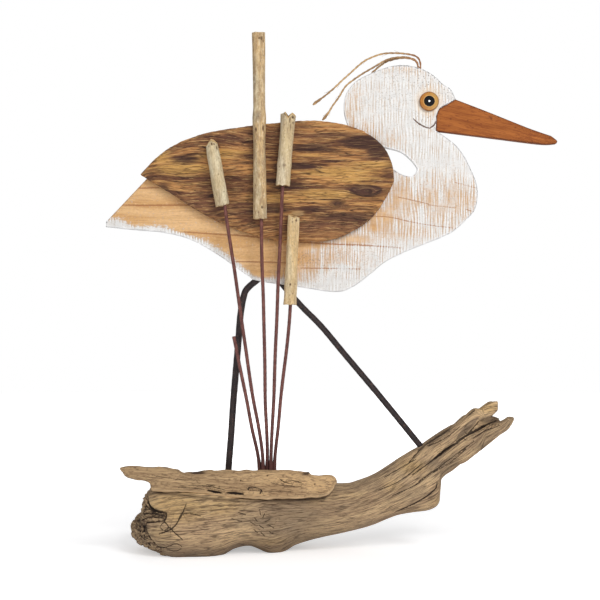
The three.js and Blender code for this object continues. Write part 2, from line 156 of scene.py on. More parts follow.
def new_finish(name, grained=False):
    """The Finish of a new material, with its shader and the place on the piece in millimetres.

    Its noises follow that place, or, where it is grained, the grain that is kept on the mesh.
    """
    material = bpy.data.materials.new(name)
    material.use_nodes = True
    material.node_tree.nodes.clear()
    finish = Finish(material.node_tree)
    finish.material = material
    finish.shader = material.node_tree.nodes.new("ShaderNodeBsdfPrincipled")
    output = material.node_tree.nodes.new("ShaderNodeOutputMaterial")
    material.node_tree.links.new(finish.shader.outputs[0], output.inputs[0])
    in_metres = finish.add("TexCoord", {}, "Object")
    finish.place = finish.vector("MULTIPLY", in_metres, (1 / MM, 1 / MM, 1 / MM))
    finish.along = finish.attribute("grain", "Vector") if grained else finish.place
    return finish


def surface(finish, roughness, height=None, depth=0.3):
    """Joins colour, roughness and a bump of the given depth in millimetres to the shader."""
    inputs = finish.shader.inputs
    finish.tree.links.new(finish.color, inputs["Base Color"])
    if isinstance(roughness, bpy.types.NodeSocket):
        finish.tree.links.new(roughness, inputs["Roughness"])
    else:
        inputs["Roughness"].default_value = roughness
    if height is not None:
        bump = finish.add("Bump", {"Strength": 1.0, "Distance": depth * MM, "Height": height})
        finish.tree.links.new(bump, inputs["Normal"])


def make_mesh(name, points, face_groups, material, masks=None):
    """A mesh piece from points in millimetres and arrays of faces of equal length each.

    The faces are turned round together if the volume that they close comes out negative. Masks
    are kept on the mesh as one value or vector for each point.
    """
    triangles = np.concatenate([group[:, [0, k, k + 1]] for group in face_groups
                                for k in range(1, group.shape[1] - 1)])
    corner = points[triangles]
    volume = np.einsum("ij,ij->i", corner[:, 0], np.cross(corner[:, 1], corner[:, 2])).sum()
    if volume < 0:
        face_groups = [group[:, ::-1] for group in face_groups]
    loops = np.concatenate([group.ravel() for group in face_groups])
    sizes = np.concatenate([np.full(len(group), group.shape[1]) for group in face_groups])
    mesh = bpy.data.meshes.new(name)
    mesh.vertices.add(len(points))
    mesh.vertices.foreach_set("co", (points * MM).ravel())
    mesh.loops.add(len(loops))
    mesh.loops.foreach_set("vertex_index", loops)
    mesh.polygons.add(len(sizes))
    mesh.polygons.foreach_set("loop_start", np.cumsum(sizes) - sizes)
    mesh.polygons.foreach_set("use_smooth", np.ones(len(sizes), bool))
    mesh.update(calc_edges=True)
    for mask, values in (masks or {}).items():
        kind = "FLOAT" if values.ndim == 1 else "FLOAT_VECTOR"
        layer = mesh.attributes.new(mask, kind, "POINT")
        layer.data.foreach_set("value" if values.ndim == 1 else "vector", values.ravel())
    mesh.materials.append(material)
    piece = bpy.data.objects.new(name, mesh)
    bpy.context.scene.collection.objects.link(piece)
    return piece


scene = bpy.context.scene
scene.view_settings.view_transform = "Standard"
world = bpy.data.worlds.new("white_sweep")
world.use_nodes = True
world.node_tree.nodes.clear()
sweep = Finish(world.node_tree)
seen = sweep.add("LightPath", {}, "Is Camera Ray")
wall_light = sweep.add("Background", {0: (1, 1, 1, 1), 1: 0.33})
wall_seen = sweep.add("Background", {0: (1, 1, 1, 1), 1: 1.0})
backdrop = sweep.add("MixShader", {0: seen, 1: wall_light, 2: wall_seen})
world_output = world.node_tree.nodes.new("ShaderNodeOutputWorld")
world.node_tree.links.new(backdrop, world_output.inputs[0])
scene.world = world

soft_light("window_right", (700, -1300, 1150), (-20, 0, 260), 700, 15, mirrored=False)
soft_light("window_left", (-1300, -1100, 700), (-20, 0, 250), 1100, 4, mirrored=False)
soft_light("window_behind", (-300, 1500, 900), (0, 0, 250), 1000, 5, mirrored=False)
soft_light("lamp_at_camera", (226, -1500, 646), (-31, 0, 300), 150, 3.4)


def full_turn(sides):
    """The angles of evenly spaced points once round."""
    return np.linspace(0, 2 * np.pi, sides + 1)[:-1]


floor_turn = full_turn(FLOOR_SIDES)
floor_rings = np.array([0.0001, 0.03, 0.06, 0.15, 0.3, 0.6, 1]) * FLOOR_RADIUS
floor_points = np.stack([
    np.outer(floor_rings, np.cos(floor_turn)),
    np.outer(floor_rings, np.sin(floor_turn)),
    np.zeros((len(floor_rings), FLOOR_SIDES)) - FLOOR_DROP,
], -1)


def grid_quads(rows, columns, closed=True):
    """Four-cornered faces between rows of points; a closed grid joins its last column to its first."""
    row, column = np.meshgrid(
        np.arange(rows - 1), np.arange(columns if closed else columns - 1), indexing="ij")
    after = (column + 1) % columns
    corners = [row * columns + column, row * columns + after,
               (row + 1) * columns + after, (row + 1) * columns + column]
    return np.stack(corners, -1).reshape(-1, 4)


paper = new_finish("white_floor")
paper_glow = paper.remap(paper.vector("LENGTH", paper.place, out="Value"), 260, 900, 0.42, 1.0)
paper_seen = paper.remap(paper.add("LightPath", {}, "Is Camera Ray"), 0, 1, 0.15, 1.0)
paper_glow = paper.math("MULTIPLY", paper_glow, paper_seen)
paper.shader.inputs["Base Color"].default_value = srgb(240, 240, 241)
paper.shader.inputs["Roughness"].default_value = 1.0
paper.shader.inputs["Specular IOR Level"].default_value = 0.0
paper.shader.inputs["Emission Color"].default_value = (1, 1, 1, 1)
paper.tree.links.new(paper_glow, paper.shader.inputs["Emission Strength"])
floor_faces = [grid_quads(len(floor_rings), FLOOR_SIDES)]
floor = make_mesh("floor", floor_points.reshape(-1, 3), floor_faces, paper.material)

camera_lens = bpy.data.cameras.new("camera")
camera_lens.lens = CAMERA_LENS
camera_lens.sensor_width = SENSOR
camera = bpy.data.objects.new("camera", camera_lens)
camera.location = Vector(CAMERA_PLACE) * MM
camera.rotation_euler = (math.pi / 2, 0, 0)
scene.collection.objects.link(camera)
scene.camera = camera

# Crest: three loose strands of twisted plant fibre, pushed into one hole in the top of the head.
# Each is two thin plies laid round each other, frayed where it ends, with a few hairs standing off.
# They are stiff with age and hold their bend, and their far ends are bare.
STRAND_DIAMETER = 2
PLY_DIAMETER = 1.4
PLY_LAY = 11
PLY_SIDES = 10
STRAND_LENGTHS = [143, 138, 65]
STRAND_ROUTES = [
    [(89.5, 2, 474), (89.5, 2, 482), (88.9, 1.9, 489), (85.8, 1.6, 493.6), (76, 1, 496.6),
     (60, 0.4, 497.4), (47.5, 0, 495.8), (34.5, -0.4, 490.2), (26.5, -0.7, 484), (15.5, -1, 474.2),
     (1.5, -1.2, 461.2), (-10, -1.3, 451.8), (-18.5, -1.4, 445.4)],
    [(87.2, 3.3, 474), (87.1, 3.3, 482), (85.2, 3.4, 489.6), (77, 3.4, 493.4), (66, 3.3, 493.6),
     (54.5, 3.2, 490.6), (39, 3, 481.7), (22, 3, 471), (14.5, 2.6, 464.5), (8.5, 2, 455),
     (1.5, 1.2, 445.3), (-3.5, 0.6, 437), (-9, 0, 430.3)],
    [(87.2, 0.7, 474), (87.2, 0.7, 483), (85.4, 0.9, 488.4), (79, 2, 492.2), (68, 5, 492.9),
     (56, 8.4, 490.2), (48, 9.8, 485.2), (41, 10, 478.4)],
]
STRAND_STEP = 0.8
FRAY_START = 0.93
HAIRS_PER_STRAND = [9, 8, 4]
HAIR_STEPS = 11
HAIR_RADIUS = 0.11


def bell(off, width, power=2):
    """A hill that is 1 where off is 0: e to the power of minus off over width, itself to a power."""
    return np.exp(-((off / width) ** power))


def curve_through(points, step):
    """Evenly spaced points on a smooth curve through the given ones.

    Between two points it is a cubic whose slope at each is a mean of the slopes on both sides,
    weighted by the square roots of the distances (a centripetal Catmull-Rom curve).
    """
    given = np.array(points, float)
    padded = np.concatenate([[2 * given[0] - given[1]], given, [2 * given[-1] - given[-2]]])
    gaps = np.linalg.norm(np.diff(padded, axis=0), axis=1)[:, None] ** 0.5
    slopes = np.diff(padded, axis=0) / gaps
    wide = (padded[2:] - padded[:-2]) / (gaps[1:] + gaps[:-1])
    turn = slopes[:-1] - wide + slopes[1:]
    return bent_line(given, turn[:-1] * gaps[1:-1], turn[1:] * gaps[1:-1], step)


def bent_line(given, leave, arrive, step):
    """Evenly spaced points on cubic pieces that leave and reach the given points along slopes."""
    share = np.linspace(0, 1, 40)[:, None, None]
    curve = ((2 * share**3 - 3 * share**2 + 1) * given[:-1] + (share**3 - 2 * share**2 + share) * leave
             + (3 * share**2 - 2 * share**3) * given[1:] + (share**3 - share**2) * arrive)
    return even_steps(np.swapaxes(curve, 0, 1).reshape(-1, given.shape[1]), step)


def even_steps(line, step):
    """The same line with its points an even distance apart, near to the given step."""
    length = np.concatenate([[0], np.cumsum(np.linalg.norm(np.diff(line, axis=0), axis=1))])
    wanted = np.linspace(0, length[-1], max(3, round(length[-1] / step) + 1))
    return np.stack([np.interp(wanted, length, line[:, k]) for k in range(line.shape[1])], -1)


def cross_axes(path):
    """Two unit vectors square to a path that never runs along Y: one near Y, one square to both."""
    along = np.gradient(path, axis=0)
    along /= np.linalg.norm(along, axis=1, keepdims=True)
    depth = np.array([0, 1, 0]) - along * along[:, 1:2]
    depth /= np.linalg.norm(depth, axis=1, keepdims=True)
    return depth, np.cross(along, depth)


def tube(path, radius, sides):
    """Rings of a round tube: at each point of the path, the radius times cosine and sine of a turn."""
    depth, side = cross_axes(path)
    turn = full_turn(sides)
    radius = np.broadcast_to(radius, (len(path), sides))[..., None]
    return path[:, None] + radius * (
        np.cos(turn)[None, :, None] * depth[:, None] + np.sin(turn)[None, :, None] * side[:, None])


def shell(rings):
    """A closed skin over a row of rings, with a fan of triangles over each end."""
    rows, columns = rings.shape[:2]
    points = np.concatenate([rings.reshape(-1, 3), rings[:1].mean(1), rings[-1:].mean(1)])
    here = np.arange(columns)
    after = (here + 1) % columns
    last = (rows - 1) * columns
    first_fan = np.stack([np.full(columns, rows * columns), after, here], -1)
    last_fan = np.stack([np.full(columns, rows * columns + 1), last + here, last + after], -1)
    return points, [grid_quads(rows, columns), np.concatenate([first_fan, last_fan])]


def joined(shells):
    """Several skins as one list of points and faces, and for each point the number of its skin."""
    points, face_groups, owner = [], [], []
    for number, (part, groups) in enumerate(shells):
        offset = sum(len(p) for p in points)
        points.append(part)
        face_groups += [group + offset for group in groups]
        owner.append(np.full(len(part), float(number)))
    return np.concatenate(points), face_groups, np.concatenate(owner)


def effect_group(name, inputs, output):
    """A shared effect: the group, its Finish, its input sockets by name, and the socket that takes its
    output.
    """
    group = bpy.data.node_groups.new(name, "ShaderNodeTree")
    for socket, kind in inputs.items():
        group.interface.new_socket(socket, in_out="INPUT", socket_type=kind)
    group.interface.new_socket(output, in_out="OUTPUT", socket_type="NodeSocketFloat")
    entry = group.nodes.new("NodeGroupInput")
    leave = group.nodes.new("NodeGroupOutput")
    return group, Finish(group), entry.outputs, leave.inputs[0]


def use(finish, group, **inputs):
    """Places a shared effect in a material and gives its output."""
    node = finish.tree.nodes.new("ShaderNodeGroup")
    node.node_tree = group
    for key, value in inputs.items():
        if isinstance(value, bpy.types.NodeSocket):
            finish.tree.links.new(value, node.inputs[key])
        else:
            node.inputs[key].default_value = value
    return node.outputs[0]


# Effect: specks. Round dots of a given size, more of them the higher the amount.
specks, specks_finish, given, specks_out = effect_group(
    "specks", {"Place": "NodeSocketVector", "Size": "NodeSocketFloat", "Amount": "NodeSocketFloat"},
    "Mask")
specks_size = specks_finish.add("CombineXYZ", {0: given["Size"], 1: given["Size"], 2: given["Size"]})
spaced_out = specks_finish.vector("DIVIDE", given["Place"], specks_size)
cell = specks_finish.tree.nodes.new("ShaderNodeTexVoronoi")
specks_finish.tree.links.new(spaced_out, cell.inputs["Vector"])
cell.inputs["Scale"].default_value = 1.0
chosen = specks_finish.add("SeparateColor", {0: cell.outputs["Color"]})
chosen = specks_finish.math("LESS_THAN", chosen, given["Amount"])
dot = specks_finish.remap(cell.outputs["Distance"], 0.15, 0.45, 1.0, 0.0)
specks_finish.tree.links.new(specks_finish.math("MULTIPLY", dot, chosen), specks_out)


def specks_on(finish, size, amount):
    """The mask of a material's specks."""
    return use(finish, specks, Place=finish.place, Size=size, Amount=amount)


fibre = new_finish("plant_fibre")
fibre_tone = fibre.noise((14, 14, 14))
fibre_streak = fibre.noise((1.1, 0.5, 1.1), 3.0)
fibre.base(fibre_tone, 0.36, 0.64, (156, 122, 87), (200, 164, 117))
fibre.tint(fibre_streak, 0.52, 0.74, 0.7, (112, 82, 56))
fibre.tint(fibre.axis("X"), 66, 88, 0.7, (150, 98, 66))
surface(fibre, 0.85, fibre_streak, 0.15)

rng = np.random.default_rng(11)
for number, route in enumerate(STRAND_ROUTES):
    centre = curve_through(route, STRAND_STEP)
    depth, side = cross_axes(centre)
    travelled = np.linspace(0, 1, len(centre))
    kink = 0.12 * np.sin(travelled * 31 + number)[:, None]
    centre = centre + side * kink
    shells = []
    for ply in (0, np.pi):
        angle = ply + 2 * np.pi * travelled * STRAND_LENGTHS[number] / PLY_LAY
        fray = 1 + 0.9 * np.clip((travelled - FRAY_START) / 0.07, 0, 1)
        reach = (STRAND_DIAMETER - PLY_DIAMETER) / 2 * fray
        line = centre + reach[:, None] * (
            np.cos(angle)[:, None] * depth + np.sin(angle)[:, None] * side)
        girth = PLY_DIAMETER / 2 * (1 + 0.12 * np.sin(travelled * 67 + 5 * number + ply))
        girth *= 1 + 0.7 * bell(travelled - 0.96, 0.025)
        shells.append(shell(tube(line, girth[:, None], PLY_SIDES)))
    for _ in range(HAIRS_PER_STRAND[number]):
        start = rng.integers(int(0.15 * len(centre)), len(centre) - 12)
        here = slice(start, start + HAIR_STEPS)
        lift = np.linspace(0.5, 1.9, HAIR_STEPS)[:, None] ** 1.4
        lean = 1.5 * rng.uniform(-1, 1)
        way = side[here] * np.cos(lean) + depth[here] * np.sin(lean)
        hair = centre[here] + way * lift * rng.choice([-1, 1])
        shells.append(shell(tube(hair, HAIR_RADIUS, 4)))
    points, faces, _ = joined(shells)
    strand = make_mesh(f"crest_fibre_{number + 1}", points, faces, fibre.material)
    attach(strand, "root")
    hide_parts(f"crest_strand_{number + 1}")

# Legs: two lengths of round steel rod, painted black-brown, bent by hand and pushed into holes
# drilled in the belly of the board and in the driftwood. They are thicker than the solids, because
# the photograph shows them so.
LEG_DEPTH = 2
LEG_SIDES = 20
LEG_STEP = 1.5
LEG_LEFT_DIAMETER = 6.6
LEG_RIGHT_DIAMETER = 6.0
LEG_LEFT_ROUTE = [
    (-104.8, 52), (-103.9, 68), (-103, 84), (-100.7, 113), (-98.2, 150), (-93.5, 206), (-91.4, 233.4),
    (-89.4, 247), (-88, 253.5), (-86.2, 259), (-82.3, 263.6), (-76.6, 268.4), (-69.5, 274),
]
LEG_RIGHT_ROUTE = [
    (97.6, 93.5), (87.5, 105.9), (47.7, 154.7), (10.6, 198.8), (-7.3, 220.4), (-16.4, 230.2),
    (-25.6, 239.2), (-34.2, 248.3), (-42, 257.2), (-49.5, 266), (-55.2, 273),
]

rod = new_finish("black_painted_rod")
rod_wear = rod.noise((5, 5, 9), 4.0, 0.6)
rod_grit = rod.noise((0.7, 0.7, 0.9), 3.0)
rod.base(rod_wear, 0.4, 0.7, (36, 28, 29), (58, 45, 43))
rod.coat(specks_on(rod, 2.2, 0.22), (104, 72, 56), 0.5)
surface(rod, rod.remap(rod_wear, 0.3, 0.7, 0.42, 0.62), rod_grit, 0.05)

for name, route, diameter in (("left", LEG_LEFT_ROUTE, LEG_LEFT_DIAMETER),
                              ("right", LEG_RIGHT_ROUTE, LEG_RIGHT_DIAMETER)):
    centre = curve_through([(x, LEG_DEPTH, z) for x, z in route], LEG_STEP)
    ripple = 1 + 0.015 * np.sin(np.arange(len(centre)) * 0.9)[:, None]
    points, faces = shell(tube(centre, diameter / 2 * ripple, LEG_SIDES))
    leg = make_mesh(f"bent_leg_{name}", points, faces, rod.material)
    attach(leg, "root")
    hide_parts(f"leg_{name}")

# Reed stems: five lengths of iron wire, rusted to a dark maroon, glued into one row of holes in
# the top of the log. The first is bare with a bent tip, and the others carry a twig each. Where the
# wires leave the log, the glue round them makes them thicker.
STEM_DIAMETER = 3.5
STEM_GLUE_HEIGHT = 74
STEM_GLUE_REACH = 15
STEM_SIDES = 14
STEM_STEP = 1.6
REED_DEPTH = -20.3
STEM_ROUTES = [
    [(-71.2, -13, 54), (-71.2, -13, 65), (-71.2, -13, 76), (-73.4, -13.8, 97), (-79.4, -15, 124),
     (-84.5, -16.2, 151), (-94.4, -19, 201), (-97.1, -19.8, 214)],
    [(-67.9, -16.5, 54), (-67.9, -16.5, 65), (-67.9, -16.5, 76), (-68.6, -16.8, 97),
     (-72.6, -17.4, 124), (-77.6, -18, 151), (-85.2, -19.3, 201), (-91.3, -20, 245),
     (-97.6, -20.3, 287.6), (-106, -20.3, 343.5), (-106.8, -20.3, 349)],
    [(-64.3, -13.5, 54), (-64.3, -13.5, 65), (-64.3, -13.5, 76), (-64, -14, 97),
     (-64.7, -15, 124), (-65.9, -16, 151), (-66.8, -18.4, 214), (-69, -20.3, 287.6),
     (-69.8, -20.3, 330.3), (-69.9, -20.3, 336)],
    [(-60.7, -16.5, 54), (-60.7, -16.5, 65), (-60.7, -16.5, 76), (-60.1, -16.8, 97),
     (-58.9, -17.4, 124), (-57.6, -18, 151), (-55.1, -19.4, 217), (-52.1, -20.3, 287.6),
     (-48.6, -20.3, 363.2), (-48.2, -20.3, 369)],
    [(-57.2, -13.5, 54), (-57.2, -13.5, 65), (-57.2, -13.5, 76), (-56, -14, 97),
     (-53.2, -15, 124), (-50.7, -16, 151), (-44.9, -18.6, 201), (-41.9, -20, 230),
     (-40.9, -20.3, 245.4), (-40.7, -20.3, 251)],
]

wire = new_finish("rusty_wire")
wire_rust = wire.noise((3, 3, 7), 4.0, 0.65)
wire_pits = wire.noise((0.5, 0.5, 0.6), 3.0, 0.6)
wire.base(wire_rust, 0.35, 0.68, (90, 52, 48), (126, 79, 70))
wire.coat(wire.remap(wire.axis("Z"), 86, 150, 0.55, 0.0), (70, 40, 38))
wire.tint(wire_pits, 0.58, 0.75, 0.5, (58, 34, 34))
surface(wire, 0.6, wire_pits, 0.08)

for number, route in enumerate(STEM_ROUTES):
    centre = curve_through(route, STEM_STEP)
    wander = 0.12 * np.sin(np.arange(len(centre)) * 0.13 + 2 * number)
    centre = centre + np.stack([wander, 0 * wander, 0 * wander], -1)
    pitted = 1 + 0.03 * np.sin(np.arange(len(centre)) * 1.7 + number)[:, None]
    pitted += 0.3 * bell(centre[:, 2:] - STEM_GLUE_HEIGHT, STEM_GLUE_REACH, 4)
    points, faces = shell(tube(centre, STEM_DIAMETER / 2 * pitted, STEM_SIDES))
    stem = make_mesh(f"wire_stem_{number + 1}", points, faces, wire.material)
    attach(stem, "root")
    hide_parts(f"reed_stem_{number + 1}")

# Reed heads: short lengths of peeled twig, bleached grey-tan, chopped at both ends with a knife
# and drilled up the middle for the wire. Where a bud was there is a knot.
TWIG_SIDES = 72
TWIG_STEP = 0.8
TOP_CUT_REACH = 14
FOOT_CUT_REACH = 8
TWIG_CUT_STEPS = [-1, -0.5, 0, 0.5, 1]
TWIG_END_INWARD = [0.93, 0.8, 0.6, 0.4, 0.22]
TWIG_END_DISH = [0.25, 0.1, -0.15, -0.3, -0.9]
# The cuts are the heights of an end from its left side to its right one. A knot is its place along
# the twig, its turn to the right of the front, its size, how much longer than wide, and how dark.
# Lean is how much lower the top is cut at the front than in the middle.
TWIGS = [
    {"foot": (-108, 343.2), "top": (-119.6, 408), "width": 13.4, "top_width": 12.2,
     "girth": [(0, 1), (0.3, 1.04), (0.66, 1.08), (0.75, 1.06), (0.9, 0.98), (1, 0.92)],
     "top_cut": [-5.5, -2, 0, -1, -4.5], "foot_cut": [0, 0.3, -0.4, 0.2, 1.0],
     "knots": [(0.945, 0.05, 1.1, 2.2, 1), (0.88, 0.85, 0.9, 4.0, 1), (0.955, 0.5, 1.4, 1.0, 1),
               (0.8, 1.1, 0.8, 6.0, 0.8), (0.93, -0.5, 0.9, 1.4, 0.8)],
     "tones": [(218, 206, 174), (188, 172, 142), (208, 188, 148)], "blotch": 0.3, "lean": 1.8},
    {"foot": (-71, 330.3), "top": (-72.4, 514.6), "width": 13, "top_width": 12.8,
     "girth": [(0, 1.02), (0.2, 0.98), (0.4, 0.92), (0.49, 1.04), (0.54, 1.08), (0.6, 0.96), (1, 1)],
     "top_cut": [-0.6, 0, -0.5, 0, -0.4], "foot_cut": [0, -0.3, 0.3, -0.2, 0.4],
     "knots": [(0.482, 0.62, 1.4, 2.6, 1), (0.475, -0.55, 1.3, 2.2, 1), (0.06, 0.35, 1.4, 1.4, 0.9),
               (0.965, 0.5, 1.7, 1.6, 0.8), (0.965, 0.1, 1.1, 1.6, 0.8), (0.95, 0.9, 1.2, 1.5, 0.8),
               (0.84, 0.3, 0.6, 3.0, 0.5), (0.71, 0.35, 0.6, 3.0, 0.6)],
     "tones": [(206, 187, 150), (158, 145, 122), (206, 174, 126)], "blotch": 0.85, "lean": 0.7},
    {"foot": (-48.6, 363.2), "top": (-42.8, 435.4), "width": 13.4, "top_width": 14.8,
     "girth": [(0, 1), (0.2, 0.99), (0.28, 1.04), (0.38, 0.99), (0.75, 0.99), (1, 1.03)],
     "top_cut": [-2.4, 0, -5.5, -0.6, -3], "foot_cut": [-0.4, 0.6, -0.5, 0.9, 0],
     "knots": [(0.27, -0.05, 2.3, 0.8, 0.55), (0.91, 0.3, 0.9, 5.0, 1), (0.8, 0.5, 0.7, 8.0, 0.8),
               (0.955, 0.75, 2.4, 1.0, 1), (0.985, -0.4, 1.8, 0.8, 0.9), (0.86, 0.9, 1.2, 1.6, 0.9)],
     "tones": [(216, 200, 168), (180, 166, 140), (206, 184, 142)], "blotch": 0.3, "lean": 1.6},
    {"foot": (-41.5, 245.4), "top": (-37.5, 333.8), "width": 12.4, "top_width": 11.4,
     "girth": [(0, 1.02), (0.1, 0.97), (0.22, 1.04), (0.3, 0.98), (0.85, 1.04), (1, 0.98)],
     "top_cut": [0.4, -0.6, -2, -1.4, -2.4], "foot_cut": [0, 0.5, -0.3, 0.6, 0.2],
     "knots": [(0.225, -0.1, 1.2, 1.4, 1), (0.95, 0.5, 1.4, 1.4, 1), (0.93, -0.2, 0.8, 2, 0.8)],
     "tones": [(228, 206, 164), (200, 174, 132), (220, 188, 136)], "blotch": 0.3, "lean": 1.0},
]


def smooth_profile(pairs):
    """A function through [x, value] pairs that never overshoots.

    It is made of cubic pieces, whose slope at each pair is the harmonic mean of the slopes beside
    it, or 0 where those differ in sign.
    """
    x, value = np.array(pairs, float).T
    slope = np.diff(value) / np.diff(x)
    before, after = np.append(slope[:1], slope), np.append(slope, slope[-1:])
    agree = before * after > 0
    tangent = np.where(agree, 2 * before * after / np.where(agree, before + after, 1), 0)

    def profile(at):
        i = np.clip(np.searchsorted(x, at, side="right") - 1, 0, len(x) - 2)
        width = x[i + 1] - x[i]
        t = np.clip((at - x[i]) / width, 0, 1)
        ends = (1 + 2 * t) * (1 - t) ** 2 * value[i] + t * t * (3 - 2 * t) * value[i + 1]
        turns = t * (1 - t) ** 2 * tangent[i] + t * t * (t - 1) * tangent[i + 1]
        return ends + width * turns

    return profile


def random_height(points, cells, seed):
    """Smooth random heights from -1 to 1 with blobs cells long in x, y and z.

    Each corner of a lattice gets a random number from a mix of its whole-number coordinates, and
    a point takes the mean of the eight corners round it, weighted by a smooth step in each direction.
    """
    scaled = points / np.asarray(cells, float)
    base = np.floor(scaled).astype(np.int64)
    share = scaled - base
    share = share * share * (3 - 2 * share)
    total = np.zeros(points.shape[:-1])
    for corner in np.ndindex(2, 2, 2):
        spot = base + np.array(corner)
        mixed = (spot[..., 0] * 73856093) ^ (spot[..., 1] * 19349663) ^ (spot[..., 2] * 83492791)
        mixed = (mixed ^ (seed * 2654435761)) & 0x7FFFFFFF
        mixed = ((mixed ^ (mixed >> 15)) * 2246822519) & 0x7FFFFFFF
        mixed = ((mixed ^ (mixed >> 13)) * 3266489917) & 0x7FFFFFFF
        weight = np.prod(np.where(corner, share, 1 - share), axis=-1)
        total += weight * (mixed / 0x3FFFFFFF - 1)
    return total


def layered_height(points, cells, seed, layers=3):
    """Random heights in layers, each with cells half as long and heights half as tall."""
    cells = np.asarray(cells, float)
    return sum(random_height(points, cells / 2**k, seed + 17 * k) / 2**k for k in range(layers))


def thin_grooves(points, cells, seed, width):
    """1 along the lines where a random height crosses zero, falling to 0 at a given height off it."""
    return np.clip(1 - np.abs(random_height(points, cells, seed)) / width, 0, 1)


# Effect: hairlines. Thin dark lines along the grain, where a drawn-out noise crosses its middle.
hairlines, hair_finish, given, hair_out = effect_group(
    "hairlines", {"Place": "NodeSocketVector", "Cells": "NodeSocketVector", "Width": "NodeSocketFloat"},
    "Mask")
hair_place = hair_finish.vector("DIVIDE", given["Place"], given["Cells"])
hair_noise = hair_finish.add("TexNoise", {0: hair_place, 2: 1.0, 3: 2.0, 4: 0.55})
hair_off = hair_finish.math("ABSOLUTE", hair_finish.math("SUBTRACT", hair_noise, 0.5))
hair_mask = hair_finish.remap(hair_off, 0.0, given["Width"], 1.0, 0.0)
hair_finish.tree.links.new(hair_mask, hair_out)


def hairs_on(finish, cells, width):
    """The mask of a material's hairlines."""
    return use(finish, hairlines, Place=finish.along, Cells=cells, Width=width)


for number, twig in enumerate(TWIGS):
    foot, top = (np.array([x, REED_DEPTH, z]) for x, z in (twig["foot"], twig["top"]))
    length = np.linalg.norm(top - foot)
    axis = (top - foot) / length
    side = np.array([axis[2], 0, -axis[0]])
    depth = np.array([0, 1, 0])
    share = np.linspace(0, 1, round(length / TWIG_STEP))
    angle, height = np.meshgrid(full_turn(TWIG_SIDES), share)
    radius = (twig["width"] * (1 - height) + twig["top_width"] * height) / 2
    radius = radius * smooth_profile(twig["girth"])(height)
    radius *= 1 + 0.035 * np.cos(2 * angle + 5 * height) + 0.015 * np.cos(5 * angle + 9 * height)
    unrolled = np.stack([np.cos(angle) * radius, np.sin(angle) * radius, height * length], -1)
    radius += 0.16 * layered_height(unrolled, (1.6, 1.6, 26), 31 + number)
    sunk = np.zeros_like(radius)
    for at, across, size, stretch, dark in twig["knots"]:
        knot_angle = -np.pi / 2 + across
        away = np.hypot((height - at) * length / stretch,
                        ((angle - knot_angle + np.pi) % (2 * np.pi) - np.pi) * radius)
        ridge = bell(away / size - 1, 0.35)
        hole = bell(away, 0.8 * size, 4)
        radius += 0.25 * ridge - 0.8 * hole * dark
        sunk = np.maximum(sunk, hole * dark)
    splinters = 0.6 * random_height(unrolled * np.array([1, 1, 0]), (2.4, 2.4, 2.4), 7 + number)
    near_top = np.clip(1 - (1 - height) * length / TOP_CUT_REACH, 0, 1) ** 2
    near_foot = np.clip(1 - height * length / FOOT_CUT_REACH, 0, 1) ** 2
    top_cut = np.interp(np.cos(angle), TWIG_CUT_STEPS, twig["top_cut"]) + twig["lean"] * np.sin(angle)
    foot_cut = np.interp(np.cos(angle), TWIG_CUT_STEPS, twig["foot_cut"])
    lengthwise = (height * length + near_top * (top_cut + splinters)
                  + near_foot * (foot_cut + 0.5 * splinters))
    body = (foot + radius[..., None] * (np.cos(angle)[..., None] * side + np.sin(angle)[..., None] * depth)
            + lengthwise[..., None] * axis)
    ends = []
    for ring, direction in ((body[0], -1), (body[-1], 1)):
        middle = ring.mean(0)
        ends.append(np.stack([middle + (ring - middle) * k + axis * direction * d
                              for k, d in zip(TWIG_END_INWARD, TWIG_END_DISH)]))
    points, faces = shell(np.concatenate([ends[0][::-1], body, ends[1]]))
    rows = len(TWIG_END_DISH)
    end_mask = np.concatenate([np.ones(rows), np.zeros(len(body)), np.ones(rows)])
    end_mask = np.append(np.repeat(end_mask, TWIG_SIDES), [1, 1])
    fade = np.linspace(0, 1, rows) ** 2
    pith = np.concatenate([fade[::-1], np.zeros(len(body)), fade])
    pith = np.append(np.repeat(pith, TWIG_SIDES), [1, 1])
    off_body = np.zeros(rows * TWIG_SIDES)
    knot_mask = np.concatenate([off_body, sunk.ravel(), off_body, [0, 0]])

    peeled = new_finish(f"peeled_twig_{number + 2}")
    twig_streak = peeled.noise((1.6, 1.6, 16), 4.0, 0.65)
    twig_patch = peeled.noise((7, 7, 22))
    twig_fine = peeled.noise((1.2, 1.2, 2.4), 3.0, 0.65)
    twig_blotch = peeled.noise((2.6, 2.6, 9), 3.0, 0.6)
    pale, grey, warm = twig["tones"]
    peeled.base(twig_patch, 0.42, 0.66, pale, grey)
    peeled.tint(peeled.noise((12, 12, 40), 1.0), 0.35, 0.65, 1.0, warm)
    peeled.tint(twig_blotch, 0.46, 0.62, twig["blotch"] * 0.8, (154, 124, 92))
    peeled.tint(twig_blotch, 0.46, 0.34, twig["blotch"] * 0.7, (222, 204, 172))
    peeled.tint(twig_streak, 0.5, 0.64, 0.5, (160, 136, 104))
    peeled.tint(twig_fine, 0.44, 0.34, 0.45, (138, 112, 84))
    peeled.tint(twig_fine, 0.56, 0.66, 0.4, (234, 222, 196))
    peeled.coat(hairs_on(peeled, (4, 4, 46), 0.045), (120, 94, 66), 0.25)
    peeled.coat(specks_on(peeled, 2.6, 0.1), (110, 84, 60), 0.55)
    peeled.coat("cut_end", (212, 178, 126))
    peeled.coat("pith", (92, 62, 42))
    peeled.coat("knot", (88, 64, 44))
    surface(peeled, 0.78, twig_streak, 0.4)

    head = make_mesh(f"twig_head_{number + 2}", points, faces, peeled.material,
                     {"cut_end": end_mask, "pith": pith, "knot": knot_mask})
    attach(head, "root")
    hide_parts(f"reed_head_{number + 2}")

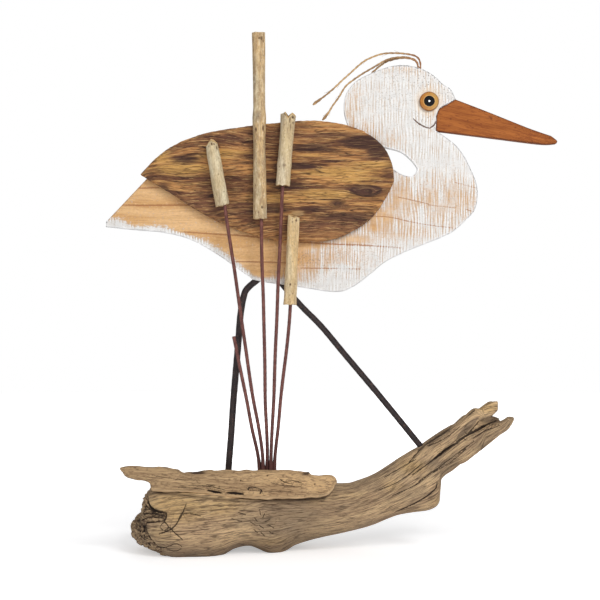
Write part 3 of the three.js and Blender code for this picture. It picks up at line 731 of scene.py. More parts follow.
# Body: one heron sawn with a scroll saw from a 10 mm board, whose rough-sawn face still shows the
# vertical marks of the mill's saw. It was brushed with whitewash and wiped, so that honey-coloured
# wood shows on the tail and under the wing, and paint stays on the neck and along the lower edge.
BOARD_FRONT = -3
BOARD_THICKNESS = 10
BOARD_FRONT_STEPS = (0.95, 2.2)
BOARD_BACK_STEPS = (3, 3.5)
EDGE_EASE = 0.2
OUTLINE_STEP = 1.2
WALL_ROWS = 8
TAIL_TIP = (-225.5, 323)
TAIL_UPPER_CORNER = (-225.5, 328)
BELLY_AND_BREAST = [
    (-196, 320), (-168, 317.5), (-140, 310), (-112, 294), (-84, 274.5), (-73, 269), (-32, 263), (4, 258),
    (22, 263.5), (39, 276), (54, 288), (75, 298.5), (111, 313), (123.5, 320), (134.5, 330), (142.5, 339),
    (145.8, 350), (145.5, 364), (141.5, 376), (132.5, 394), (122.5, 406.5), (105.5, 419),
]
FOREHEAD_START = (124.3, 450.7)
CROWN_AND_NAPE = [
    (119, 461), (112, 465.5), (101.5, 475), (88.5, 481.8), (71.5, 485), (54.5, 482.5), (33.5, 474),
    (21.5, 466), (13.8, 454), (12.5, 440), (15, 429), (19, 420), (28, 410),
]
THROAT = [(40, 404), (52.5, 402.5), (68.5, 398.5), (77.5, 392), (84.5, 384)]
THROAT_END = [(85.7, 379.5), (80.2, 373.7), (70.5, 375.5), (62, 380.5)]
BACK_LINE = [
    (40, 389.5), (0, 399), (-40, 403), (-85, 402), (-125, 396), (-158, 385), (-184, 372),
]
BEAK_REAR = [(104.5, 419), (104.9, 434), (107.5, 441), (124, 450.5)]
CREST_HOLE = (88, 482)
CREST_HOLE_DIAMETER = 5.6
CREST_HOLE_SINK = 5
HALO_CENTRE = (97.4, 448.5)
HALO_RADIUS = 13.5
MOUTH_DEPTH = 0.35
SAW_RIDGE = 0.09
SAW_SPACING = 2.9
GRAIN_RIDGE = 0.06


def sawn_curve(points, step):
    """Evenly spaced points on a smooth line through the given ones, like a scroll saw's cut.

    It leaves each point along half the way from the point before it to the point after it.
    """
    given = np.array(points, float)
    padded = np.concatenate([given[:1], given, given[-1:]])
    slope = (padded[2:] - padded[:-2]) / 2
    return bent_line(given, slope[:-1], slope[1:], step)


def closed_outline(parts):
    """One closed outline, anticlockwise, from parts that each start where the one before ends."""
    outline = np.concatenate([part[:-1] for part in parts])
    after = np.roll(outline, -1, axis=0)
    area = (outline[:, 0] * after[:, 1] - outline[:, 1] * after[:, 0]).sum()
    return outline if area > 0 else outline[::-1]


def straight(first, last, step):
    """Evenly spaced points on the line between two points."""
    return even_steps(np.array([first, last], float), step)


def inner_points(outline, step_x, step_z, margin):
    """A grid of [x, z] points inside an outline, and how far each is from it.

    A point is inside if a ray from it towards +X crosses the outline an odd number of times.
    """
    low, high = outline.min(0), outline.max(0)
    x, z = np.meshgrid(np.arange(low[0], high[0], step_x), np.arange(low[1], high[1], step_z))
    x[1::2] += step_x / 2
    grid = np.stack([x.ravel(), z.ravel()], -1)
    after = np.roll(outline, -1, axis=0)
    kept, distances = [], []
    for part in np.array_split(grid, max(1, len(grid) // 2000)):
        px, pz = part[:, :1], part[:, 1:]
        spans = (outline[:, 1] > pz) != (after[:, 1] > pz)
        rise = np.where(after[:, 1] == outline[:, 1], 1, after[:, 1] - outline[:, 1])
        crossing = outline[:, 0] + (pz - outline[:, 1]) / rise * (after[:, 0] - outline[:, 0])
        inside = (spans & (px < crossing)).sum(1) % 2 == 1
        away = np.hypot(px - outline[:, 0], pz - outline[:, 1]).min(1)
        chosen = inside & (away > margin)
        kept.append(part[chosen])
        distances.append(away[chosen])
    return np.concatenate(kept), np.concatenate(distances)


def sawn_plate(outline, front, thickness, ease, front_steps, back_steps, wall_rows):
    """A board of even thickness cut to an outline, with slightly rounded edges.

    Gives its points, its faces, each point's distance from the outline, and a mask that is 1 on
    the front, 0 on the sawn edge and -1 on the back. Rounded edges are quarter circles.
    """
    along = np.roll(outline, -1, axis=0) - np.roll(outline, 1, axis=0)
    along /= np.linalg.norm(along, axis=1, keepdims=True)
    inward = np.stack([-along[:, 1], along[:, 0]], -1)
    quarter = np.linspace(0, np.pi / 2, 4)
    inset = np.concatenate([ease * (1 - np.sin(quarter)), np.zeros(wall_rows)])
    inset = np.concatenate([inset, ease * (1 - np.cos(quarter))])
    depth = np.concatenate([
        ease * (1 - np.cos(quarter)), np.linspace(ease, thickness - ease, wall_rows + 2)[1:-1],
        thickness - ease * (1 - np.sin(quarter))])
    flat_rows = outline + inset[:, None, None] * inward
    wall = np.stack([
        flat_rows[..., 0], np.broadcast_to(front + depth[:, None], flat_rows.shape[:2]),
        flat_rows[..., 1]], -1)
    count, rows = len(outline), len(inset)
    points, masks = [wall.reshape(-1, 3)], [np.zeros(count * rows)]
    distances = [np.repeat(inset, count)]
    masks[0][:count] = 1
    masks[0][-count:] = -1
    faces = [grid_quads(rows, count)]
    for sign, ring, y, steps in ((1, flat_rows[0], front, front_steps),
                                 (-1, flat_rows[-1], front + thickness, back_steps)):
        inner, away = inner_points(ring, *steps, 0.6 * min(steps))
        whole = [Vector(p) for p in np.concatenate([ring, inner]).tolist()]
        result = delaunay_2d_cdt(whole, [], [list(range(count))], 1, 1e-6)
        triangles = np.array(result[2])
        start = sum(len(p) for p in points)
        first = 0 if sign > 0 else (rows - 1) * count
        index = np.concatenate([first + np.arange(count), start + np.arange(len(inner))])
        faces.append(index[triangles][:, ::-sign])
        points.append(np.stack([inner[:, 0], np.full(len(inner), float(y)), inner[:, 1]], -1))
        masks.append(np.full(len(inner), float(sign)))
        distances.append(away + ease)
    faces[0] = faces[0][:, ::-1]
    return np.concatenate(points), faces, np.concatenate(distances), np.concatenate(masks)


def follow_line(flat_points, line):
    """For each [x, z] point: how far along a line its nearest point is, and how far aside it is.

    Aside is negative on the right of the line. The last result is how far it is past an end.
    """
    step = np.diff(line, axis=0)
    length = np.linalg.norm(step, axis=1)
    travelled = np.concatenate([[0], np.cumsum(length)[:-1]])
    results = []
    for part in np.array_split(flat_points, max(1, len(flat_points) // 4000)):
        away = part[:, None] - line[:-1]
        share = np.clip((away * step).sum(-1) / length**2, 0, 1)
        distance = np.linalg.norm(away - share[..., None] * step, axis=-1)
        nearest = distance.argmin(1)
        pick = np.arange(len(part)), nearest
        turn = step[nearest, 0] * away[pick][:, 1] - step[nearest, 1] * away[pick][:, 0]
        past = ((nearest == 0) & (share[pick] == 0)) | (
            (nearest == len(step) - 1) & (share[pick] == 1))
        results.append(np.stack([
            travelled[nearest] + share[pick] * length[nearest],
            np.sign(turn) * distance[pick], np.where(past, distance[pick], 0)], -1))
    return np.concatenate(results).T


def drawn_lines(flat_points, routes):
    """Where each point is beside the nearest of several lines, given as a route and a half width.

    The results are the distance aside with its sign, and the line's half width there. That is the
    root of the sine of the way along, and below zero by the distance from an end that is past.
    """
    aside = np.full(len(flat_points), 50.0)
    width = np.full(len(flat_points), -50.0)
    for route, half_width in routes:
        line = curve_through(route, 1.5)
        near = ((flat_points > line.min(0) - 9) & (flat_points < line.max(0) + 9)).all(1)
        if not near.any():
            continue
        travel, off, past = follow_line(flat_points[near], line)
        total = np.linalg.norm(np.diff(line, axis=0), axis=1).sum()
        swell = half_width * np.sqrt(np.clip(np.sin(np.pi * travel / total), 0, 1)) - past
        better = np.abs(off) - swell < np.abs(aside[near]) - width[near]
        spot = np.flatnonzero(near)[better]
        aside[spot], width[spot] = off[better], swell[better]
    return aside, width


def line_cut(aside, width, margin, slope):
    """How deep lines are cut at each point: 1 in them, falling to 0 beyond a margin on both sides."""
    return np.clip((width + margin - np.abs(aside)) / slope, 0, 1)


def soft_spots(flat_points, spots):
    """A mask with a bell-shaped hill for each spot of centre x and z, half width, half height, top."""
    mask = np.zeros(len(flat_points))
    for x, z, wide, high, top in spots:
        away = ((flat_points[:, 0] - x) / wide) ** 2 + ((flat_points[:, 1] - z) / high) ** 2
        mask = np.maximum(mask, top * np.exp(-away))
    return mask


# Effect: drawn line. The mask of the lines that are kept on the mesh, with slightly ragged sides.
drawn, drawn_finish, given, drawn_out = effect_group(
    "drawn_line", {"Place": "NodeSocketVector", "Aside": "NodeSocketFloat",
                   "Width": "NodeSocketFloat", "Soft": "NodeSocketFloat"}, "Mask")
drawn_rag = drawn_finish.sway(drawn_finish.noise((2.4, 2.4, 2.4), 3.0, 0.6, at=given["Place"]), 1.6)
drawn_off = drawn_finish.math("ABSOLUTE", drawn_finish.math("ADD", given["Aside"], drawn_rag))
drawn_off = drawn_finish.math("SUBTRACT", drawn_off, given["Width"])
drawn_mask = drawn_finish.remap(drawn_off, 0.0, given["Soft"], 1.0, 0.0)
drawn_finish.tree.links.new(drawn_mask, drawn_out)


def drawn_on(finish, name, soft):
    """The mask of the drawn lines that the mesh keeps under a name."""
    aside, width = finish.attribute(name + "_aside"), finish.attribute(name + "_width")
    return use(finish, drawn, Place=finish.place, Aside=aside, Width=width, Soft=soft)


# Effect: frayed. A soft mask from the mesh turned into one with a ragged border.
frayed, frayed_finish, given, frayed_out = effect_group(
    "frayed", {"Mask": "NodeSocketFloat", "Noise": "NodeSocketFloat", "Reach": "NodeSocketFloat",
               "Soft": "NodeSocketFloat"}, "Mask")
frayed_sum = frayed_finish.math("ADD", given["Mask"], frayed_finish.sway(given["Noise"], given["Reach"]))
frayed_low = frayed_finish.math("SUBTRACT", 0.5, given["Soft"])
frayed_high = frayed_finish.math("ADD", 0.5, given["Soft"])
frayed_mask = frayed_finish.remap(frayed_sum, frayed_low, frayed_high)
frayed_finish.tree.links.new(frayed_mask, frayed_out)


def ragged(finish, name, noise, reach, soft):
    """A mask that the mesh keeps under a name, with a border frayed by a noise."""
    return use(finish, frayed, Mask=finish.attribute(name), Noise=noise, Reach=reach, Soft=soft)


belly = sawn_curve([TAIL_TIP, *BELLY_AND_BREAST], OUTLINE_STEP)
crown = sawn_curve([FOREHEAD_START, *CROWN_AND_NAPE, *THROAT, *THROAT_END], OUTLINE_STEP)
back_line = sawn_curve([THROAT_END[-1], *BACK_LINE], OUTLINE_STEP)
notch_corners = [BELLY_AND_BREAST[-1], *BEAK_REAR[:-1], FOREHEAD_START]
notch = [straight(a, b, OUTLINE_STEP) for a, b in zip(notch_corners[:-1], notch_corners[1:])]
board_outline = closed_outline([
    belly, *notch, crown, back_line, straight(BACK_LINE[-1], TAIL_UPPER_CORNER, OUTLINE_STEP),
    straight(TAIL_UPPER_CORNER, TAIL_TIP, OUTLINE_STEP)])
points, faces, edge_distance, side_mask = sawn_plate(
    board_outline, BOARD_FRONT, BOARD_THICKNESS, EDGE_EASE, BOARD_FRONT_STEPS, BOARD_BACK_STEPS,
    WALL_ROWS)
flat_points = points[:, [0, 2]]
x, z = flat_points.T

# The rough-sawn face: ridges from the mill's saw across the board and soft grain along it.
saw_ridges = random_height(points, (1.9, 60, 46), 3)
saw_ridges *= 0.6 + 0.4 * random_height(points, (30, 60, 9), 4)
soft_grain = random_height(points, (60, 60, 3.2), 5)
face = np.clip(edge_distance / 1.5, 0, 1)
points[:, 1] += np.where(side_mask > 0, face * (SAW_RIDGE * saw_ridges + GRAIN_RIDGE * soft_grain), 0)
middle = np.abs(side_mask) < 0.5
wall_mark = np.where(middle, random_height(points, (1.3, 40, 1.3), 6) * 0.07, 0)
points[:, 0] += wall_mark
points[:, 2] += wall_mark

# The hole for the crest: the top edge is sunk under the strands.
hole_away = np.hypot(x - CREST_HOLE[0], points[:, 1] - BOARD_FRONT - BOARD_THICKNESS / 2)
hole_mask = np.where(z > CREST_HOLE[1] - 8, bell(hole_away, CREST_HOLE_DIAMETER / 2, 6), 0)
points[:, 2] -= CREST_HOLE_SINK * hole_mask * middle

# Where the wash was wiped off: 0 is bare wood and 1 is full cover.
cover = 0.9 - 1.0 / (1 + np.exp((x + 36 + 0.35 * (z - 300)) / 11))
_, above_belly, _ = follow_line(flat_points, belly)
band = 4.8 + 2.2 * bell(x + 215, 14) + 1.6 * random_height(points, (14, 60, 40), 7)
cover += 1.3 * bell(above_belly, band) * (x < 20)
cover += 0.3 * bell(z - 258, 14) * (x > -60) * (x < 40)
cover -= soft_spots(flat_points, [
    (113, 350, 48, 24, 0.58), (70, 352, 20, 26, 0.66), (48, 333, 26, 14, 0.75), (20, 426, 7, 16, 0.5),
    (59, 410, 16, 9, 0.42), (99, 436, 6, 8, 0.4), (75, 481, 34, 5, 0.34), (24, 452, 9, 22, 0.3),
    (-8, 292, 50, 14, 0.5), (60, 318, 44, 11, 0.52), (40, 414, 22, 8, 0.4), (100, 462, 16, 10, 0.16),
    (40, 445, 26, 26, 0.1), (-20, 305, 30, 7, 0.75), (22, 311, 26, 7, 0.75), (44, 323, 18, 9, 0.8),
    (58, 342, 10, 14, 0.7), (97, 462, 9, 5, 0.3), (17, 434, 7, 8, 0.45), (36, 423, 11, 8, 0.4),
    (102, 419.5, 4, 2.4, 0.5),
])
cover += soft_spots(flat_points, [
    (90.5, 335, 2.6, 8, 0.7), (83, 359, 2, 8, 0.5), (109.5, 356, 2.4, 8, 0.5), (11, 282, 8, 3, 0.6),
    (-9.5, 284, 1.2, 18, 0.45), (117, 340, 2, 10, 0.4), (-216, 327, 9, 5, 0.55),
])
# Lines of the grain and of the mouth, each as its route and half its width.
board_lines = [
    ([(-212, 345), (-180, 344.6), (-145, 344.8), (-120, 343)], 0.55),
    ([(-198, 361.5), (-172, 362.5)], 0.45),
    ([(-148, 318), (-120, 316.2), (-80, 313.5), (-44, 309)], 0.5),
    ([(-98, 288.5), (-60, 287.8), (-44, 287)], 0.4),
    ([(-32, 308), (0, 306), (36, 304.5), (72, 302)], 0.45),
    ([(41, 334), (60, 332.5), (80, 328), (100, 324.5), (122, 322)], 0.1),
    ([(66, 353), (80, 350), (97, 346)], 0.0),
    ([(97, 345), (124, 342)], -0.1),
    ([(123, 368), (144, 362)], -0.1),
    ([(-31, 282), (0, 281.6), (30, 281)], 0.2),
    ([(134, 341), (142, 338)], 0.1),
]
mouth_lines = [
    ([(81.3, 432.2), (86.3, 427.2), (92.9, 423.3), (98.2, 421.5)], 0.6),
    ([(97.6, 421.4), (102.9, 425.4), (105.3, 430.5)], 0.5),
    ([(107.2, 440.6), (111.5, 443.6), (117, 446.4)], 0.3),
]
line_aside, line_width = drawn_lines(flat_points, board_lines)
mouth_aside, mouth_width = drawn_lines(flat_points, mouth_lines)
mouth_width = np.where(side_mask > 0, mouth_width, -50)
halo_away = np.hypot(x - HALO_CENTRE[0], z - HALO_CENTRE[1])
halo = bell(halo_away, HALO_RADIUS, 6) * (side_mask > 0)
groove = np.clip(1 - (np.abs(mouth_aside) - mouth_width), 0, 1)
points[:, 1] += np.where(side_mask > 0, MOUTH_DEPTH * groove, 0)

board = new_finish("whitewashed_board")
bent = board.noise((70, 70, 26), 1.0)
bent = board.add("CombineXYZ", {2: board.sway(bent, 12.0)})
wood_place = board.vector("ADD", board.place, bent)
wood_bands = board.noise((150, 40, 11), 2.0, 0.5, at=wood_place)
wood_streaks = board.noise((26, 9, 1.1), 3.0, 0.6, at=wood_place)
wood_mottle = board.noise((3.2, 3.2, 1.8), 3.0, 0.6)
board.base(wood_bands, 0.34, 0.66, (226, 186, 136), (208, 162, 108))
board.tint(wood_streaks, 0.48, 0.72, 0.55, (178, 126, 80))
board.tint(wood_mottle, 0.5, 0.7, 0.55, (188, 138, 92))
board.tint(wood_mottle, 0.45, 0.3, 0.5, (234, 200, 158))
board_cover = board.attribute("cover")
board.tint(board_cover, 0.0, 0.5, 0.85, (197, 165, 135))
board.tint(board_cover, 0.6, 0.9, 0.7, (192, 174, 158))
line_mask = drawn_on(board, "line", 0.7)
board.coat(line_mask, (156, 102, 66), 0.75)
wood_color = board.color

# The wash over the bare wood: how much of it lies where, and then its own colours.
saw_fine = board.noise((1.2, 3, 24), 3.0, 0.6)
saw_sway = board.noise((26, 30, 70))
saw_turn = board.math("MULTIPLY", board.axis("X"), 2 * math.pi / SAW_SPACING)
saw_turn = board.plus(saw_turn, saw_sway, 26.0)
saw_lines = board.math(
    "MULTIPLY", board.math("SINE", saw_turn), board.remap(wood_bands, 0.3, 0.6, 0.35, 1.0))
washed = board.remap(board_cover, 0.1, 0.6)
saw_patch = board.noise((16, 20, 22))
saw_lines = board.math("MULTIPLY", saw_lines, board.remap(saw_patch, 0.36, 0.62, 0.2, 1.0))
saw_lines = board.math("MULTIPLY", saw_lines, washed)
wash_patch = board.noise((9, 9, 6), 3.0, 0.6)
wash_grit = board.noise((1.4, 1.4, 1.2), 3.0, 0.65)
grit_here = board.sway(wash_grit, washed)
wash = board.plus(board_cover, grit_here, 0.9)
on_tail = board.remap(board.axis("X"), -50, -110)
saw_depth = board.remap(on_tail, 0, 1, 2.4, 0.7)
mottle_depth = board.remap(on_tail, 0, 1, 0.4, 2.4)
for part, strength in ((saw_fine, saw_depth), (wash_patch, 0.5), (wood_mottle, mottle_depth)):
    wash = board.math("ADD", wash, board.sway(part, strength))
wash = board.plus(wash, saw_lines, 0.4)
wash = board.math("SUBTRACT", wash, board.math("MULTIPLY", line_mask, 0.4))
wash_mask = board.remap(wash, 0.05, 0.9, 0.0, 0.97)
board.base(wash_patch, 0.35, 0.7, (230, 229, 227), (219, 218, 216))
board.tint(saw_lines, 0.1, -0.8, 0.5, (206, 198, 188))
board.tint(saw_lines, 0.3, 0.9, 0.6, (240, 240, 240))
board.tint(saw_fine, 0.45, 0.36, 0.55, (192, 180, 166))
board.tint(wash_grit, 0.4, 0.32, 0.75, (156, 140, 126))
board.color = board.blend(wash_mask, wood_color, board.color)
# The rim: within a millimetre of the edge the washed board is lightened to near white. This is partly
# thicker wash on the edge and partly painted light that hides the shade of the rounded edge.
rim_wash_and_light = board.math("MULTIPLY", board.attribute("rim"), board.remap(wash, 0.0, 0.4))
board.coat(rim_wash_and_light, (250, 250, 250), 0.9)
board_dirt = board.math("MULTIPLY", specks_on(board, 2.0, 0.6), board.attribute("dirt"))
board.coat(board_dirt, (128, 118, 112), 0.8)
board.coat("halo", (240, 218, 190), 0.6)
board.coat(drawn_on(board, "mouth", 0.4), (88, 58, 44), 0.95)
# Painted shade: the sunk top edge round the crest hole is coloured dark.
board.coat("hole", (70, 50, 38))
surface(board, 0.85, board.plus(saw_fine, wash_grit, 0.5), 0.3)

heron_board = make_mesh("heron_board", points, faces, board.material, {
    "cover": cover, "line_aside": line_aside, "line_width": line_width, "halo": halo,
    "mouth_aside": mouth_aside, "mouth_width": mouth_width, "hole": hole_mask,
    "dirt": soft_spots(flat_points, [
        (96, 470, 22, 14, 1.0), (70, 474, 26, 8, 0.8), (62, 452, 30, 20, 0.5), (96, 432, 14, 10, 0.8),
        (-10, 290, 50, 12, 0.7), (110, 350, 40, 26, 0.4), (111, 456, 10, 9, 1.0)]),
    "rim": bell(edge_distance, 1.1, 4)})
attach(heron_board, "root")
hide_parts("body_board")

# Wing: a slab of old barn wood, scorched and brushed along the grain so that its hard rings stand
# up, and rounded at the edge. It lies flat on the front of the board, with no screw to be seen.
WING_BACK = -3.3
WING_THICKNESS = 10
WING_EDGE_RADIUS = 5
WING_RIM_SHARE = 0.45
WING_RELIEF = 0.85
WING_STATIONS = 250
WING_ACROSS = 210
WING_UPPER_EDGE = [
    (-190, 375.4), (-184, 382), (-174.5, 391.5), (-163.5, 400.2), (-146.5, 409), (-122, 416.8),
    (-91, 422), (-49.5, 427), (-23.5, 428.6), (0, 427), (15, 424), (27, 420), (38, 414.2), (44, 410),
    (50.4, 404), (55.4, 397), (59, 388.5), (61.6, 378.5), (62, 371),
]
WING_LOWER_EDGE = [
    (-190, 374.4), (-187, 372.6), (-184, 370.6), (-154.5, 352.5), (-133, 338.5), (-105, 324.5),
    (-84, 316.5), (-63, 310.6), (-43.5, 308), (-13.5, 308), (4, 311), (22, 319.2), (36, 328.4),
    (46.4, 339.5), (52.8, 349.5), (58.6, 360), (62, 368),
]
# A knot is its place, its size and how much longer than high it is.
WING_KNOTS = [(34, 358.5, 5.5, 2.8), (4, 346, 2.6, 2)]

tip, shoulder = WING_UPPER_EDGE[0][0], WING_UPPER_EDGE[-1][0]

# Rows of points from the tail to the shoulder, closer together near both ends, and the height of
# the grain at each: it flows round the knots and follows the edges towards the tail.
station = (1 - np.cos(np.linspace(0.06, 1, WING_STATIONS) * np.pi)) / 2
station = (station + 2 * np.linspace(0, 1, WING_STATIONS)) / 3
station = (station - station[0]) / (station[-1] - station[0])
across = np.linspace(0, 1, WING_ACROSS)
wing_x, share = np.meshgrid(tip + (shoulder - tip) * station, across, indexing="ij")
upper, lower = smooth_profile(WING_UPPER_EDGE)(wing_x), smooth_profile(WING_LOWER_EDGE)(wing_x)
share = share - 0.11 * np.sin(2 * np.pi * share) / 2
wing_z = lower + (upper - lower) * share
flat_wing = np.stack([wing_x, 0 * wing_x, wing_z], -1)
grain_z = (wing_z + 2.2 * random_height(flat_wing, (70, 1, 40), 41)
           + 0.7 * random_height(flat_wing, (22, 1, 12), 42))
for knot_x, knot_z, size, stretch in WING_KNOTS:
    ellipse = np.hypot((wing_x - knot_x) / stretch, wing_z - knot_z)
    ellipse += 1.2 * random_height(flat_wing, (13, 1, 6), 50)
    pull = bell(ellipse, size, 3)
    grain_z = grain_z * (1 - pull) + pull * (knot_z + ellipse * 0.6)
follow_edges = (0.22 * (352 - lower) * bell(wing_z - lower, 14)
                + 0.35 * (400 - upper) * bell(upper - wing_z, 20))
grain_z += follow_edges * np.clip((-60 - wing_x) / 60, 0, 1)
grain_place = np.stack([wing_x, 0 * wing_x, grain_z], -1)
rings_relief = random_height(grain_place, (110, 1, 6), 43)
fine_relief = random_height(grain_place, (24, 1, 1.9), 44)
finer_relief = random_height(grain_place, (9, 1, 1.1), 45)
grooves = thin_grooves(grain_place, (34, 1, 2.6), 46, 0.14)
grooves *= 0.35 + 0.65 * np.clip(random_height(flat_wing, (30, 1, 16), 49) + 0.5, 0, 1)
relief = 0.36 * rings_relief + 0.36 * fine_relief + 0.26 * finer_relief - 0.7 * grooves
inset = 0.6 + np.minimum.reduce([
    upper - wing_z, wing_z - lower, wing_x - tip + 0.5, shoulder - wing_x + 0.5])
inset += 0.4 * random_height(flat_wing, (5, 1, 5), 47)
roundness = np.clip(inset / WING_EDGE_RADIUS, 0, 1)
bulge = np.sqrt(1 - (1 - roundness) ** 2)
rise = WING_THICKNESS * (WING_RIM_SHARE + (1 - WING_RIM_SHARE) * bulge)
front_y = WING_BACK - rise + 0.75 - WING_RELIEF * relief * (0.35 + 0.65 * roundness)
front = np.stack([wing_x, front_y, wing_z], -1)
front[..., 1] = np.minimum(front[..., 1], WING_BACK - 0.3)
edge_rag = 0.5 * random_height(front, (3.5, 4, 2), 48)
front[:, 0, 2] += edge_rag[:, 0]
front[:, -1, 2] += edge_rag[:, -1]
back_share = np.linspace(1, 0, 24)[:, None]
back_z = (front[:, -1, 2] * back_share + front[:, 0, 2] * (1 - back_share)).T
back_x = np.broadcast_to(wing_x[:, :1], back_z.shape)
back = np.stack([back_x, np.full(back_z.shape, float(WING_BACK)), back_z], -1)
rim_rows = [0.3, 0.65]
top_rim = np.stack([front[:, -1] * (1 - k) + back[:, 0] * k for k in rim_rows], 1)
low_rim = np.stack([back[:, -1] * (1 - k) + front[:, 0] * k for k in rim_rows], 1)
rings = np.concatenate([front, top_rim, back, low_rim], 1)
points, faces = shell(rings)


def on_ring(values, others):
    """The values of the wing's front followed by one value for every other point of its shell."""
    rest = np.full((len(values), rings.shape[1] - values.shape[1]), float(others))
    return np.append(np.concatenate([values, rest], 1).ravel(), [others, others])


flat_points = points[:, [0, 2]]

# Patches: charred, golden and dull ones, and the smear of glue.
char_mask = soft_spots(flat_points, [
    (-145, 390, 18, 6, 0.9), (-168, 362, 12, 7, 0.75), (34, 407, 28, 8, 1.2), (33, 359, 20, 9, 0.8),
    (4, 346, 11, 5, 0.85), (-65, 340, 36, 6, 0.95), (-43, 364, 24, 5, 0.85), (-20, 401, 30, 5, 0.9),
    (-38, 383, 26, 5, 1.0), (-62, 368, 12, 5, 0.8), (16, 333, 34, 5, 1.05), (-104, 407, 22, 5, 0.5),
    (46, 400, 14, 10, 1.1), (-104, 341, 26, 5, 0.65), (-20, 340, 26, 4, 0.7), (0, 388, 12, 3, 0.6),
    (56, 380, 8, 16, 0.5), (-85, 392, 14, 4, 0.5), (-120, 372, 26, 4, 0.35), (45, 330, 20, 6, 0.55),
    (10, 414, 40, 5, 0.6), (-168, 352, 9, 9, 0.6),
])
knot_x, knot_z, _, stretch = WING_KNOTS[0]
knot_reach = np.hypot((flat_points[:, 0] - knot_x) / stretch, flat_points[:, 1] - knot_z)
knot_reach += 1.3 * random_height(points, (12, 40, 5), 51)
knot_ring = 0.88 * bell(knot_reach - 5, 1.5)
knot_core = 0.84 * bell(knot_reach, 4.5, 4)
char_mask = np.maximum.reduce([char_mask, knot_ring, knot_core])
gold_mask = soft_spots(flat_points, [
    (11, 377, 48, 6, 1.0), (-150, 381, 30, 9, 1.0), (-8, 355, 38, 7, 0.75), (-62, 352, 46, 6, 0.7),
    (40, 384, 26, 6, 0.8), (-170, 392, 14, 8, 0.8), (-110, 396, 30, 6, 0.75), (-20, 395, 20, 4, 0.5),
    (-100, 350, 26, 6, 0.4), (-5, 408, 26, 4, 0.5), (20, 370, 30, 6, 0.7),
])
dull_mask = soft_spots(flat_points, [
    (-10, 322, 70, 14, 0.9), (-112, 344, 56, 15, 0.8), (-70, 413, 80, 10, 0.8)])
glue_mask = soft_spots(flat_points, [(-33.5, 336, 7, 3.2, 1.0)])
front_grain = np.stack([wing_x, front[..., 1], grain_z], -1)
wing_grain = np.concatenate([front_grain, rings[:, WING_ACROSS:]], 1).reshape(-1, 3)
wing_grain = np.concatenate([wing_grain, points[-2:]])

wing = new_finish("scorched_barn_wood", grained=True)
wing_band = wing.noise((90, 30, 7), 4.0, 0.6)
wing_streak = wing.noise((60, 8, 2.2), 5.0, 0.68)
wing_fine = wing.noise((18, 3, 0.8), 4.0, 0.62)
wing_relief = wing.attribute("relief")
wing_mix = wing.plus(wing_band, wing_relief, 0.16)
wing.base(wing_mix, 0.38, 0.58, (119, 79, 55), (200, 142, 85))
wing.tint(wing.noise((44, 20, 9), 3.0, 0.55), 0.5, 0.62, 0.7, (106, 68, 50))
wing.coat(ragged(wing, "gold", wing_streak, 1.5, 0.3), (215, 166, 93), 0.84)
wing.tint(wing_streak, 0.52, 0.62, 0.5, (205, 156, 94))
wing.tint(wing_streak, 0.45, 0.36, 0.5, (90, 57, 44))
wing_char = ragged(wing, "char", wing_streak, -1.0, 0.3)
wing.coat(wing_char, (68, 45, 41), 0.9)
wing.coat(ragged(wing, "dull", wing_band, 0.8, 0.4), (130, 89, 66), 0.6)
wing.tint(wing_relief, -0.3, -0.9, 0.8, (54, 34, 29))
wing.tint(wing_fine, 0.44, 0.39, 0.6, (76, 48, 39))
wing_bare = wing.remap(wing_char, 0.0, 1.0, 1.0, 0.3)
wing_glint = wing.math("MULTIPLY", wing.remap(wing_fine, 0.56, 0.61, 0.0, 0.66), wing_bare)
wing.coat(wing_glint, (226, 182, 122))
wing.coat(hairs_on(wing, (32, 8, 2.5), 0.045), (50, 31, 27), 0.66)
wing.coat(ragged(wing, "glue", wing_fine, 0.8, 0.2), (190, 158, 112), 0.6)
surface(wing, 0.8, wing.plus(wing_streak, wing_fine, 0.6), 2.0)

scorched_wing = make_mesh("scorched_wing", points, faces, wing.material, {
    "grain": wing_grain, "relief": on_ring(relief, 0), "char": char_mask, "gold": gold_mask,
    "dull": dull_mask, "glue": glue_mask})
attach(scorched_wing, "root")
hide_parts("wing_slab")

# Beak: a flat wedge of the same board, painted a thin orange-brown that lets the grain show, and
# glued into the notch at the front of the head, where it stands half a millimetre proud.
BEAK_FRONT = -3.5
BEAK_THICKNESS = 10
BEAK_TOP = [(156.5, 438), (196.5, 422), (219.5, 414)]
BEAK_TIP = [(225.5, 409.2), (224.7, 406.4)]
BEAK_UNDER = [(209.5, 406), (168.5, 411)]
BEAK_STEP = 0.9
BEAK_GRAIN_SLOPE = 0.225
BEAK_FRONT_STEPS = (1.6, 0.8)
BEAK_BACK_STEPS = (2.5, 2.5)

top_edge = sawn_curve([BEAK_REAR[-1], *BEAK_TOP], BEAK_STEP)
tip_edge = sawn_curve([BEAK_TOP[-1], *BEAK_TIP], BEAK_STEP)
under_edge = sawn_curve([BEAK_TIP[-1], *BEAK_UNDER], BEAK_STEP)
rear_edges = [straight(a, b, BEAK_STEP) for a, b in zip(BEAK_REAR[:-1], BEAK_REAR[1:])]
last_edge = straight(BEAK_UNDER[-1], BEAK_REAR[0], BEAK_STEP)
beak_outline = closed_outline([*rear_edges, top_edge, tip_edge, under_edge, last_edge])
points, faces, edge_distance, side_mask = sawn_plate(
    beak_outline, BEAK_FRONT, BEAK_THICKNESS, EDGE_EASE, BEAK_FRONT_STEPS, BEAK_BACK_STEPS, WALL_ROWS)
grain_across = points[:, 2] + BEAK_GRAIN_SLOPE * points[:, 0]
grain_along = points[:, 0] - BEAK_GRAIN_SLOPE * points[:, 2]
beak_grain = np.stack([grain_along, points[:, 1], grain_across], -1)
points[:, 1] += np.where(side_mask > 0, 0.1 * random_height(beak_grain, (30, 50, 1.7), 61), 0)

